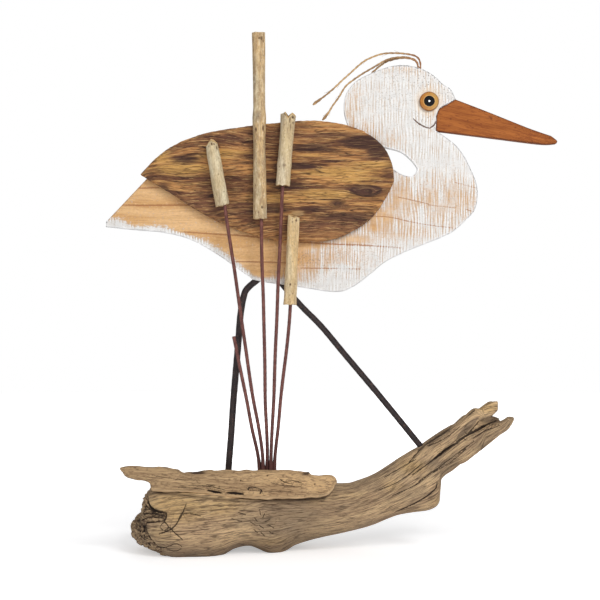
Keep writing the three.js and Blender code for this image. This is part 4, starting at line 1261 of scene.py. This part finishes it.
beak = new_finish("thin_orange_paint", grained=True)
beak_streak = beak.noise((22, 10, 1.2), 3.0, 0.6)
beak_band = beak.noise((50, 20, 7))
beak.base(beak_band, 0.35, 0.65, (166, 98, 46), (148, 84, 38))
beak.tint(beak_streak, 0.48, 0.7, 0.6, (122, 62, 28))
beak.tint(beak_streak, 0.42, 0.3, 0.35, (186, 112, 58))
beak.coat(hairs_on(beak, (30, 14, 2.6), 0.04), (116, 56, 30), 0.6)
beak.coat(specks_on(beak, 3.4, 0.07), (90, 44, 28), 0.55)
# Darker along the edges and at three spots, with painted shade in the joint at the rear edge.
beak.coat("edge", (96, 46, 26))
surface(beak, 0.7, beak_streak, 0.4)
beak.shader.inputs["Specular IOR Level"].default_value = 0.3

# Painted shade: a dark line along the rear edge, where the beak meets the head, stands for the shadow in
# the joint. The beak is also darker along all its edges and at three spots.
rear_away = np.abs(follow_line(points[:, [0, 2]], np.array(BEAK_REAR, float))[1])
rear_joint_shade = 0.8 * bell(rear_away, 0.9)
edge_dark = 0.5 * bell(edge_distance, 0.8)
edge_dark += soft_spots(points[:, [0, 2]], [
    (159.4, 432.2, 1.6, 1.1, 0.8), (117.2, 424, 1.2, 0.9, 0.7), (141, 422, 1.2, 0.9, 0.6)])
painted_beak = make_mesh("painted_beak", points, faces, beak.material, {
    "grain": beak_grain, "edge": np.maximum(rear_joint_shade, edge_dark)})
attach(painted_beak, "root")
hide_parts("beak")

# Eye: a glossy plastic craft eye, glued on the head: an amber dome painted from behind, with a
# darker rim, a lighter ring inside and a black pupil in the middle.
EYE_CENTRE = (97.5, 448.4)
EYE_BACK = -3.3
EYE_SIDES = 96
PUPIL_RADIUS = 5.4
PUPIL_HEIGHT = 4.0

eye_radius = np.array([
    0.3, 1.2, 2.2, 3.2, 4.3, 4.9, 5.4, 5.9, 6.6, 7.4, 8.2, 8.8, 9.3, 9.6, 9.75, 9.7, 9.45])
eye_rise = np.where(
    eye_radius < PUPIL_RADIUS, PUPIL_HEIGHT + 0.45 * (1 - (eye_radius / 5.5) ** 2),
    1.5 + 2.4 * np.sqrt(np.clip(1 - ((eye_radius - PUPIL_RADIUS) / 4.5) ** 2, 0, 1)))
eye_rise[-3:] = [1.0, 0.3, 0.0]
turn = full_turn(EYE_SIDES)
rings = np.stack([
    EYE_CENTRE[0] + eye_radius[:, None] * np.cos(turn),
    np.broadcast_to(EYE_BACK - eye_rise[:, None], (len(eye_radius), EYE_SIDES)),
    EYE_CENTRE[1] + eye_radius[:, None] * np.sin(turn)], -1)
points, faces = shell(rings)

eye = new_finish("amber_craft_eye")
eye_away = eye.vector("SUBTRACT", eye.place, (EYE_CENTRE[0], 0, EYE_CENTRE[1]))
eye_away = eye.vector("MULTIPLY", eye_away, (1, 0, 1))
eye_reach = eye.vector("LENGTH", eye_away, out="Value")
eye_shade_side = eye.add("SeparateXYZ", {0: eye_away}, "X")
# Painted shade: the amber is darker on the left of the eye and lighter on its right, where the light comes
# from.
eye.base(eye_shade_side, -6, 8, (176, 114, 52), (186, 144, 80))
eye.tint(eye.noise((3, 3, 3)), 0.4, 0.7, 0.4, (200, 142, 70))
eye.tint(eye_reach, 8.3, 9.6, 0.8, (120, 74, 36))
eye.tint(eye_reach, 6.6, 5.6, 0.5, (224, 186, 122))
eye.tint(eye_reach, 5.55, 5.25, 1.0, (14, 13, 16))
surface(eye, 0.06)
eye.shader.inputs["Specular IOR Level"].default_value = 0.5

craft_eye = make_mesh("craft_eye", points, faces, eye.material)
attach(craft_eye, "root")
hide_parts("eye")

# Log: one piece of driftwood that everything stands on, grey-tan, worn smooth along the grain,
# rotten and curled at its left end and split into prongs at the tip of its branch.
LOG_VOXEL = 1.2
LOG_ENDS = (-200, 152)
LOG_SECTIONS = 240
LOG_SIDES = 96
LOG_SQUARENESS = 2.7
PRONG_SECTIONS = 60
PRONG_SIDES = 48
PRONG_SQUARENESS = 5
PRONG_TAPER = 14
PRONG_TIP = 3.5
CRACK_DEPTH = 2.2
TROUGH_DEPTH = 1.5
CURL_SPACING = 7
CLEARING_REACH = 45.0
LOG_UPPER = [
    (-200, 26), (-194, 34), (-188, 41), (-186.4, 47), (-185.6, 54), (-181, 62), (-170, 68.5), (-130, 74),
    (-60, 73.5), (-20, 70), (5, 65), (16, 65.4), (28, 69.2), (42, 75), (55, 82.6), (68, 90.6), (82, 98.8),
    (95, 106.6), (109, 116.6), (122, 125), (134.5, 135), (142, 136), (149, 128), (152, 118),
]
LOG_LOWER = [
    (-200, 21), (-196, 13), (-186.5, 6), (-174.5, 1), (-163, -5), (-150, -9), (-122, -9), (-108, -5),
    (-97, 1.5), (-84, 3.8), (-72, 0), (-66, -3), (-60, -6), (-51, -4), (-44, 1), (-37, 5.2), (-20, 10.5),
    (15, 18.5), (28, 22), (42, 26.5), (55, 31.5), (67, 35.5), (82, 38), (95, 39.5), (104, 43), (108, 49),
    (109, 70), (122, 80.4), (142, 95.4), (152, 103.6),
]
LOG_NEAR = [
    (-200, -6), (-197, -22), (-190, -39), (-178, -52), (-160, -57.5), (-140, -58), (-110, -53),
    (-80, -43), (-50, -35), (-20, -28), (15, -23), (50, -19), (90, -15), (125, -12), (152, -9),
]
LOG_FAR = [
    (-200, 6), (-197, 22), (-190, 39), (-178, 52), (-160, 57.5), (-140, 58), (-110, 56), (-80, 54),
    (-50, 51), (-20, 42), (15, 31), (50, 24), (90, 19), (125, 16), (152, 12),
]
LOG_CENTRELINE = [
    (-230, 26), (-190, 30), (-140, 34), (-80, 38), (-30, 40), (15, 43), (50, 54), (85, 74), (120, 101),
    (152, 122), (200, 148),
]
# Where the rot of the left end stops, as height and x.
ROT_EDGE = [
    (0, -158), (10.6, -167.3), (16.4, -175), (24.2, -180), (33.9, -181.8), (36.2, -168), (38, -161),
    (44, -161), (46, -168), (50, -178), (57, -181), (70, -182),
]
# Each prong as its upper and lower outline and its near and far depth.
PRONGS = [
    ([(118, 122), (130, 131.5), (143.9, 142), (147, 141.4), (152, 144.6), (159, 148.6), (166.3, 149)],
     [(118, 112), (130, 122), (150, 130.5), (159.7, 134), (166.3, 139.6)], -11, 3),
    ([(118, 120), (140, 129), (160.9, 133.3), (168, 131.8)],
     [(118, 108), (140, 118), (156, 123), (168, 128.6)], -6, 9),
    ([(118, 110), (130, 119), (156, 123.5), (165, 126.6), (173.2, 130), (177.6, 132.8), (182.5, 133)],
     [(118, 84), (130, 86.5), (143.9, 95.8), (156, 105.4), (168.2, 115), (175, 119.6), (179.5, 124.8),
      (182.5, 130)], -12, 10),
    ([(88, 101.4), (100, 110.8), (112, 119.4), (121, 125.2)],
     [(88, 97.6), (100, 106.4), (112, 115), (121, 121.6)], -4, 12),
]
# The slat's outlines are needed here too, because the log makes room for it.
SLAT_UPPER = [
    (-206.5, 86.4), (-201, 87.8), (-173, 87.5), (-151, 85), (-145.3, 81.4), (-141, 82.9), (-123, 83.3),
    (-47, 82.9), (-24.5, 81.2), (-20.8, 78.2), (-2.3, 76.6), (2.5, 74.6), (4.2, 71.6),
]
SLAT_LOWER = [
    (-206.5, 84.6), (-203, 81.3), (-197.5, 76.3), (-181.5, 72.6), (-177.5, 70.6), (-176, 64.5),
    (-144, 62.5), (-116, 59.1), (-98, 56.8), (-74.5, 55.3), (-42.5, 55.3), (-15, 56.4), (-8, 57.4),
    (-2, 60.8), (2.2, 65.6), (4.2, 70.5),
]
SLAT_NEAR = [(-206.5, -42.5), (-196, -46), (-150, -47.5), (-60, -42), (-8, -37), (4.2, -33)]
SLAT_FAR = [(-206.5, -41), (-196, -37), (-150, -33), (-60, -28), (-8, -24), (4.2, -25.5)]
SLAT_OUTLINES = (SLAT_UPPER, SLAT_LOWER, SLAT_NEAR, SLAT_FAR)
SLAT_SQUARENESS = 4.5
SLAT_GAP = 0.4
AWAY_FROM_SLAT = np.array([0, 0.8, -0.6])


def driftwood_loft(outlines, stations, sides, squareness):
    """A closed skin of rounded box sections between an upper, lower, near and far outline.

    The corners are those of a superellipse: cosine and sine to the power of two over squareness.
    """
    upper, lower, near, far = (smooth_profile(pairs)(stations)[:, None] for pairs in outlines)
    turn = full_turn(sides)
    wide = np.sign(np.cos(turn)) * np.abs(np.cos(turn)) ** (2 / squareness)
    tall = np.sign(np.sin(turn)) * np.abs(np.sin(turn)) ** (2 / squareness)
    y = near + (far - near) / 2 * (1 + wide)
    z = lower + (upper - lower) / 2 * (1 + tall)
    return shell(np.stack([np.broadcast_to(stations[:, None], y.shape), y, z], -1))


def voxel_skin(shells, size, relax):
    """One skin of small squares round several overlapping solids: its points, faces and normals."""
    points, faces, _ = joined(shells)
    rough = make_mesh("rough", points, faces, None)
    remesh = rough.modifiers.new("one_skin", "REMESH")
    remesh.mode = "VOXEL"
    remesh.voxel_size = size * MM
    even = rough.modifiers.new("even", "SMOOTH")
    even.factor = 0.5
    even.iterations = relax
    result = rough.evaluated_get(bpy.context.evaluated_depsgraph_get()).to_mesh()
    place = np.empty(3 * len(result.vertices))
    result.vertices.foreach_get("co", place)
    normal = np.empty(3 * len(result.vertices))
    result.vertex_normals.foreach_get("vector", normal)
    corner = np.empty(len(result.loops), int)
    result.loops.foreach_get("vertex_index", corner)
    bpy.data.objects.remove(rough)
    return place.reshape(-1, 3) / MM, corner.reshape(-1, 4), normal.reshape(-1, 3)


def inside_slat(points, grow):
    """Below 1 inside the slat's rounded section grown by a gap, and above 1 outside of it."""
    x = points[:, 0]
    upper, lower, near, far = (smooth_profile(pairs)(x) for pairs in SLAT_OUTLINES)
    wide = (points[:, 1] - (near + far) / 2) / ((far - near) / 2 + grow)
    tall = (points[:, 2] - (upper + lower) / 2) / ((upper - lower) / 2 + grow)
    ends = (x < SLAT_UPPER[0][0] - grow) | (x > SLAT_UPPER[-1][0] + grow)
    return np.abs(wide) ** SLAT_SQUARENESS + np.abs(tall) ** SLAT_SQUARENESS + 9 * ends


log_outlines = (LOG_UPPER, LOG_LOWER, LOG_NEAR, LOG_FAR)
log_stations = np.linspace(*LOG_ENDS, LOG_SECTIONS)
shells = [driftwood_loft(log_outlines, log_stations, LOG_SIDES, LOG_SQUARENESS)]
for upper_edge, lower_edge, near_depth, far_depth in PRONGS:
    start, end = upper_edge[0][0], upper_edge[-1][0]
    middle = (near_depth + far_depth) / 2
    near_edge = [(start, near_depth), (end - PRONG_TAPER, near_depth), (end, middle - PRONG_TIP)]
    far_edge = [(start, far_depth), (end - PRONG_TAPER, far_depth), (end, middle + PRONG_TIP)]
    prong = (upper_edge, lower_edge, near_edge, far_edge)
    prong_stations = np.linspace(start, end, PRONG_SECTIONS)
    shells.append(driftwood_loft(prong, prong_stations, PRONG_SIDES, PRONG_SQUARENESS))
points, quads, normals = voxel_skin(shells, LOG_VOXEL, 1)

flat_points = points[:, [0, 2]]
travel, aside, _ = follow_line(flat_points, curve_through(LOG_CENTRELINE, 6))
x, y, z = points.T
upper, lower, near, far = (smooth_profile(pairs)(x) for pairs in log_outlines)
tall, deep = (upper - lower) / 2, (far - near) / 2
around = np.arctan2(aside / tall, np.abs(y - (near + far) / 2) / deep)
log_grain = np.stack([travel, 0.12 * y, 28 * around], -1)
toward_front = np.clip(-normals[:, 1] * 2, 0, 1)
rot_edge = np.interp(z, *np.array(ROT_EDGE).T)
rotten = np.clip((rot_edge - x + 2.5 * random_height(points, (9, 9, 5), 71)) / 3 + 0.5, 0, 1)
# Cracks, each as its route and half its width.
log_cracks = [
    ([(147, 129), (136, 117.5), (125.2, 108.1), (113, 101), (102.4, 92.3), (79.6, 76.4)], 0.3),
    ([(126, 108.8), (113, 101), (100, 90.6)], 1.1),
    ([(124, 109), (135, 115.8), (147, 122), (160, 127.5)], 0.8),
    ([(76.4, 88.6), (89.6, 101.8), (101.6, 110.2), (113.7, 118.7), (119.7, 124.6), (129.2, 133),
      (142.5, 142.1)], 0.2),
    ([(92.5, 106.4), (107.4, 115), (121.3, 124.6), (131.2, 132.6), (143, 140.6)], 0.6),
    ([(63.2, 39.3), (75.2, 44.1), (88.4, 50.7), (98.1, 57.3), (104.1, 63.3), (104.7, 70)], 0.4),
    ([(46, 62), (62, 68), (78, 78), (90, 88)], 0.06), ([(60, 56), (82, 66), (104, 82)], 0.06),
    ([(-141.5, 53.5), (-145.5, 42.5), (-150.9, 33.6)], 0.1),
    ([(-146, 44), (-150.9, 33.6), (-157, 28.5), (-168, 24)], 0.3),
    ([(-163, 38), (-157, 30.5), (-150, 24), (-144.2, 18.7)], 0.2),
    ([(-146, 44), (-137.3, 44.4), (-127, 41.5)], 0.0),
    ([(-166.4, 31.6), (-162.4, 35.4), (-158.4, 31.6), (-162.4, 27.8), (-166, 30.4)], 0.0),
    ([(-160, 12), (-150, 15), (-145, 12)], 0.05), ([(-160, 9), (-152, 7.5), (-146, 10)], 0.0),
    ([(-181, 60), (-179, 52), (-174, 47.6), (-166.5, 45.6), (-160, 44.6)], 0.9),
    ([(-177, 48), (-172, 44), (-166, 42.4), (-161, 42)], 0.4),
    ([(-160.5, 45), (-160.4, 41), (-162, 37)], 0.4),
    ([(-160.5, 37.3), (-170, 35.8), (-182, 33.9)], 0.3), ([(-187, 36), (-178, 39.5), (-164, 40.6)], 0.2),
    ([(-189, 40), (-180, 43.5), (-170, 43)], 0.3), ([(-186, 44), (-180, 47.5), (-174, 46)], 0.2),
    ([(-182, 34), (-181, 29), (-180, 24), (-175, 16.4), (-167.3, 10.6), (-160, 11.4)], 0.35),
    ([(-186, 41), (-191, 37.5), (-193, 32), (-191, 26), (-187, 24)], 0.4),
    ([(-184, 36.5), (-188.5, 34.5), (-190, 31), (-188, 27.5)], 0.3),
    ([(-186, 31), (-184.5, 27), (-186, 23)], 0.5),
    ([(-190, 22), (-185, 18), (-180, 13), (-173, 8)], 0.2), ([(-184, 22), (-181, 17)], 0.6),
    ([(-184, 52), (-183, 46)], 0.3),
    ([(-76, 38), (-73, 34)], 0.0), ([(-66, 42), (-68, 37)], 0.0), ([(-72, 31), (-67, 27)], 0.1),
    ([(-77, 27), (-73, 23)], 0.05), ([(-70, 24), (-66, 19)], 0.0), ([(-66, 33), (-60, 36)], 0.0),
    ([(-63, 31), (-57, 27)], 0.0), ([(-71, 46), (-70, 40)], 0.0), ([(-80, 34), (-75, 31)], 0.0),
    ([(-92, 44), (-84, 41)], 0.0), ([(-98, 38), (-88, 35)], 0.0), ([(-62, 24), (-57, 21)], 0.0),
    ([(86, 70), (104, 82), (122, 95), (142, 110)], 0.1), ([(100, 78), (118, 88), (134, 102)], 0.0),
    ([(140, 112), (154, 121), (168, 126)], 0.1), ([(150, 123), (158, 127), (166, 129.5)], 0.3),
    ([(52, 74), (66, 82), (84, 92)], 0.0), ([(96, 104), (112, 112), (128, 124)], 0.0),
]

# The log is pushed out and in along its normals: grooves and ripples along the grain, furrows on
# the branch, curls where it is rotten, and the cracks and hollows that the photograph shows.
crack_aside, crack_width = drawn_lines(flat_points, log_cracks)
crack = line_cut(crack_aside, crack_width, 0.9, 1.4) * toward_front
hollow = soft_spots(flat_points, [
    (87.5, 104.4, 4, 3, 2.2), (132, 103.6, 3, 2.4, 1.4), (-70, 33, 9, 9, 0.4), (-166, 43.5, 6, 2.4, 1.0),
    (-176, 47, 5, 4, 1.4), (-185, 30, 2.5, 6, 1.2),
])
trough_aside, trough_width = drawn_lines(flat_points, [
    ([(147, 134), (136, 123.5), (124, 111)], 3.4), ([(118, 104), (104, 92), (94, 84)], 2.2)])
trough = line_cut(trough_aside, trough_width, 1.2, 3) * toward_front
seat = np.clip((inside_slat(points, 5) - 1) / 4, 0, 1)
grooves = thin_grooves(log_grain, (60, 4.5, 4.5), 72, 0.13)
on_branch = np.clip((x - 60) / 50, 0, 1)
furrows = thin_grooves(log_grain, (75, 4, 5), 79, 0.22)
ripple = (0.5 * random_height(log_grain, (48, 9, 9), 73)
          + 0.28 * random_height(log_grain, (22, 3.6, 3.6), 74)
          - 0.42 * grooves - 1.1 * furrows * on_branch)
lumps = 1.5 * random_height(points, (40, 26, 26), 75)
folds = [random_height(points, (9, 9, 9), seed) for seed in (91, 92, 93)]
folded = points + 2.5 * np.stack(folds, -1)
curl_reach = np.hypot(folded[:, 0] + 176, 1.3 * (folded[:, 2] - 27)) + 0.5 * folded[:, 1]
curl_layer = np.sin(2 * np.pi * curl_reach / CURL_SPACING)
curls = 0.9 * curl_layer + 1.2 * random_height(points, (8, 8, 5), 76) - 0.6
curls -= 2.2 * thin_grooves(folded, (13, 9, 3.2), 78, 0.2)
push = (ripple * (1 - rotten) + curls * rotten) * seat
push += lumps * seat * np.clip((150 - x) / 40, 0, 1)
push -= (CRACK_DEPTH * crack * np.clip(0.5 + crack_width, 0, 2) + hollow * toward_front
         + TROUGH_DEPTH * trough)
points += normals * push[:, None]

# Where the log would come through the slat, it is pushed back and down until it clears it.
buried = inside_slat(points, SLAT_GAP) < 1
low_step, high_step = np.zeros(len(points)), np.where(buried, CLEARING_REACH, 0.0)
for _ in range(14):
    half = (low_step + high_step) / 2
    inside = inside_slat(points + half[:, None] * AWAY_FROM_SLAT, SLAT_GAP) < 1
    low_step, high_step = np.where(inside, half, low_step), np.where(inside, high_step, half)
points += np.where(buried, high_step, 0)[:, None] * AWAY_FROM_SLAT
points[:, 2] = np.maximum(points[:, 2], 0)

log = new_finish("grey_tan_driftwood", grained=True)
log_band = log.noise((80, 13, 13), 3.0, 0.55)
log_streak = log.noise((26, 0.95, 0.8), 4.0, 0.65)
log_fine = log.noise((10, 0.8, 0.7), 3.0, 0.6)
log.base(log_band, 0.34, 0.66, (227, 193, 148), (194, 162, 126))
log.tint(log.noise((42, 42, 30), at=log.place), 0.4, 0.66, 0.5, (166, 143, 116))
log.coat(ragged(log, "grey", log_streak, 1.0, 0.35), (104, 90, 78), 0.65)
# Painted shade: the log is darker towards the bottom, below 26 mm.
log.tint(log.axis("Z"), 26, 2, 0.45, (96, 80, 66))
log.coat(ragged(log, "gold", log_streak, 0.9, 0.35), (204, 168, 110), 0.6)
log.tint(log_streak, 0.53, 0.63, 0.42, (216, 188, 148))
log.tint(log_streak, 0.47, 0.37, 0.4, (104, 83, 65))
log.tint(log_fine, 0.45, 0.38, 0.52, (90, 71, 56))
log.coat(hairs_on(log, (60, 2.8, 2.8), 0.045), (72, 56, 45), 0.7)
log.coat(hairs_on(log, (22, 2.2, 2.2), 0.04), (84, 66, 52), 0.45)
log_rot = ragged(log, "rot", log_fine, 0.8, 0.3)
log_crumb = log.noise((3.4, 3.4, 1.5), 4.0, 0.65, at=log.place)
rot_color = log.blend(log.remap(log_crumb, 0.42, 0.56), srgb(98, 75, 58), srgb(196, 167, 130))
log.color = log.blend(log.math("MULTIPLY", log_rot, 0.8), log.color, rot_color)
# Painted shade: the places pushed in deepest, in cracks, hollows and troughs, are darkened.
log.tint(log.attribute("push"), -1.3, -3.0, 0.8, (60, 47, 38))
# Painted shadow: a dark line on the log just under the slat's lower edge.
log.coat("gap", (70, 54, 42), 0.7)
# Painted shade: the cracks are drawn dark inside.
log_crack = log.math("MULTIPLY", drawn_on(log, "crack", 0.4), log.attribute("front"))
log.coat(log_crack, (44, 32, 26), 0.9)
surface(log, 0.88, log.plus(log_streak, log_fine, 0.6), 1.6)

gold = soft_spots(flat_points, [
    (-148, 50, 36, 17, 1.0), (-110, 50, 30, 14, 0.75), (-165, 24, 20, 12, 0.5), (80, 84, 18, 9, 0.8),
    (156, 143, 14, 6, 0.9), (60, 66, 14, 8, 0.6), (104, 50, 10, 8, 0.5), (20, 56, 30, 8, 0.4),
    (-60, 12, 26, 6, 0.5),
])
grey = soft_spots(flat_points, [
    (-40, 34, 50, 34, 0.78), (160, 131, 12, 4, 1.4), (104, 88, 20, 5, 0.7), (-70, 33, 11, 12, 0.6),
    (-140, 4, 50, 9, 0.6), (0, 22, 30, 6, 0.5), (150, 104, 30, 6, 0.5), (-120, 66, 70, 5, 0.5),
])
# Painted shadow under the slat's lower edge, on the front of the log.
slat_shadow_line = bell(z - smooth_profile(SLAT_LOWER)(x) + 1.8, 1.5)
slat_shadow_line *= (x > -177) * (x < 1) * toward_front
# The grey mask also takes in the troughs, so their darker grey is painted shade.
log_of_driftwood = make_mesh("log_of_driftwood", points, [quads], log.material, {
    "grain": log_grain, "gold": gold, "grey": np.maximum(grey, 1.1 * trough), "rot": rotten,
    "push": push, "gap": slat_shadow_line,
    "crack_aside": crack_aside, "crack_width": crack_width + 0.2, "front": toward_front})
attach(log_of_driftwood, "root")
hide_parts("driftwood_log")

# Slat: a thin splinter of paler driftwood, glued along the front of the log over the feet of the
# reeds. It has worm holes, two open slits and a gouge on its face.
SLAT_VOXEL = 0.8
SLAT_SECTIONS = 260
SLAT_SIDES = 64
SLIT_DEPTH = 1.6
WORM_HOLE_DEPTH = 1.3

slat_stations = np.linspace(SLAT_UPPER[0][0], SLAT_UPPER[-1][0], SLAT_SECTIONS)
splinter = driftwood_loft(SLAT_OUTLINES, slat_stations, SLAT_SIDES, SLAT_SQUARENESS)
points, quads, normals = voxel_skin([splinter], SLAT_VOXEL, 2)
flat_points = points[:, [0, 2]]
x, y, z = points.T
slat_grain = np.stack([x, y, z + 0.035 * x], -1)
toward_front = np.clip(-normals[:, 1] * 2, 0, 1)
slat_lines = [
    ([(-122, 65), (-114, 63), (-107, 62)], 1.1), ([(-103.5, 62.4), (-95, 61.7), (-86, 61)], 1.1),
    ([(-81.7, 67.6), (-74, 67.2), (-68.7, 65)], 0.2), ([(-68.7, 65.5), (-70.4, 60.6)], 0.3),
    ([(-81.7, 67.8), (-81.4, 64.6)], 0.2), ([(-45.5, 74.7), (-37, 73.6), (-27.8, 70.7)], 0.15),
    ([(-52, 76), (-46, 72), (-38, 70.6)], 0.1), ([(-140, 70), (-120, 69), (-104, 65)], 0.1),
    ([(-176, 80), (-150, 76), (-128, 75)], 0.0), ([(-90, 66), (-66, 63.6), (-40, 63)], 0.0),
    ([(-124, 66), (-132, 67), (-150, 68)], 0.1), ([(-122, 71), (-114, 70)], 0.1),
    ([(-60, 72), (-48, 69), (-30, 68)], 0.0),
]
slit_aside, slit_width = drawn_lines(flat_points, slat_lines)
# Painted highlight: a lighter band just above the slat's lower edge, where its lip catches the light.
lip_highlight = bell(z - smooth_profile(SLAT_LOWER)(x) - 1.6, 1.3) * (x > -175) * toward_front
slit = line_cut(slit_aside, slit_width, 0.7, 1.1) * toward_front
pits = soft_spots(flat_points, [
    (-63.3, 78.9, 1.3, 1.0, 1), (-89.1, 74.4, 1.0, 1.0, 1), (-16.9, 70, 1.4, 1.0, 1),
    (-49.7, 74.7, 1.0, 1.0, 0.8), (-27.1, 57.7, 1.2, 1, 1), (-131, 82.6, 10, 1.5, 0.9),
    (-110, 68.5, 1.4, 2, 0.7), (-26, 80.4, 6, 1.2, 0.9), (-12, 76.6, 4, 1.5, 0.5),
])
ripple = (0.9 * random_height(slat_grain, (34, 9, 6), 81)
          + 0.5 * random_height(slat_grain, (12, 3, 2.2), 82)
          - 0.5 * thin_grooves(slat_grain, (26, 4, 3.2), 83, 0.14))
on_edge = np.clip(np.abs(normals[:, 2]) * 1.5 - 0.3, 0, 1)
chips = 0.8 * random_height(points, (7, 7, 4), 84) * on_edge
push = ripple + chips - (SLIT_DEPTH * slit * np.clip(0.4 + slit_width, 0, 2)
                         + WORM_HOLE_DEPTH * pits * toward_front)
push = np.where(normals[:, 1] > 0.3, np.minimum(push, 0), push)
points += normals * push[:, None]

slat = new_finish("pale_driftwood", grained=True)
slat_band = slat.noise((50, 9, 7), 3.0, 0.55)
slat_streak = slat.noise((20, 2, 1.4), 4.0, 0.65)
slat_fine = slat.noise((8, 1.0, 1.0), 3.0, 0.6)
slat.base(slat.axis("X"), -130, -20, (180, 150, 112), (208, 172, 126))
slat.tint(slat_band, 0.42, 0.62, 0.7, (152, 123, 91))
slat.tint(slat_streak, 0.53, 0.66, 0.6, (208, 176, 134))
slat.tint(slat_streak, 0.46, 0.35, 0.75, (118, 92, 68))
slat.tint(slat_fine, 0.44, 0.38, 0.6, (104, 80, 60))
slat.coat(hairs_on(slat, (20, 3.6, 3.4), 0.04), (88, 66, 50), 0.5)
slat.coat(specks_on(slat, 4.0, 0.08), (90, 66, 48), 0.5)
# Painted shade: the worm holes, pits and slits are coloured dark inside.
slat.tint(slat.attribute("pit"), 0.35, 0.75, 0.9, (60, 42, 32))
# Painted highlight along the lower lip.
slat.coat("lip_highlight", (222, 190, 148), 0.6)
slat_slit = slat.math("MULTIPLY", drawn_on(slat, "slit", 0.45), slat.attribute("front"))
slat.coat(slat_slit, (36, 25, 19))
surface(slat, 0.85, slat.plus(slat_streak, slat_fine, 0.6), 0.9)

split_slat = make_mesh("split_slat", points, [quads], slat.material, {
    "grain": slat_grain, "pit": pits, "slit_aside": slit_aside, "slit_width": slit_width,
    "front": toward_front, "lip_highlight": lip_highlight})
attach(split_slat, "root")
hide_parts("driftwood_slat")
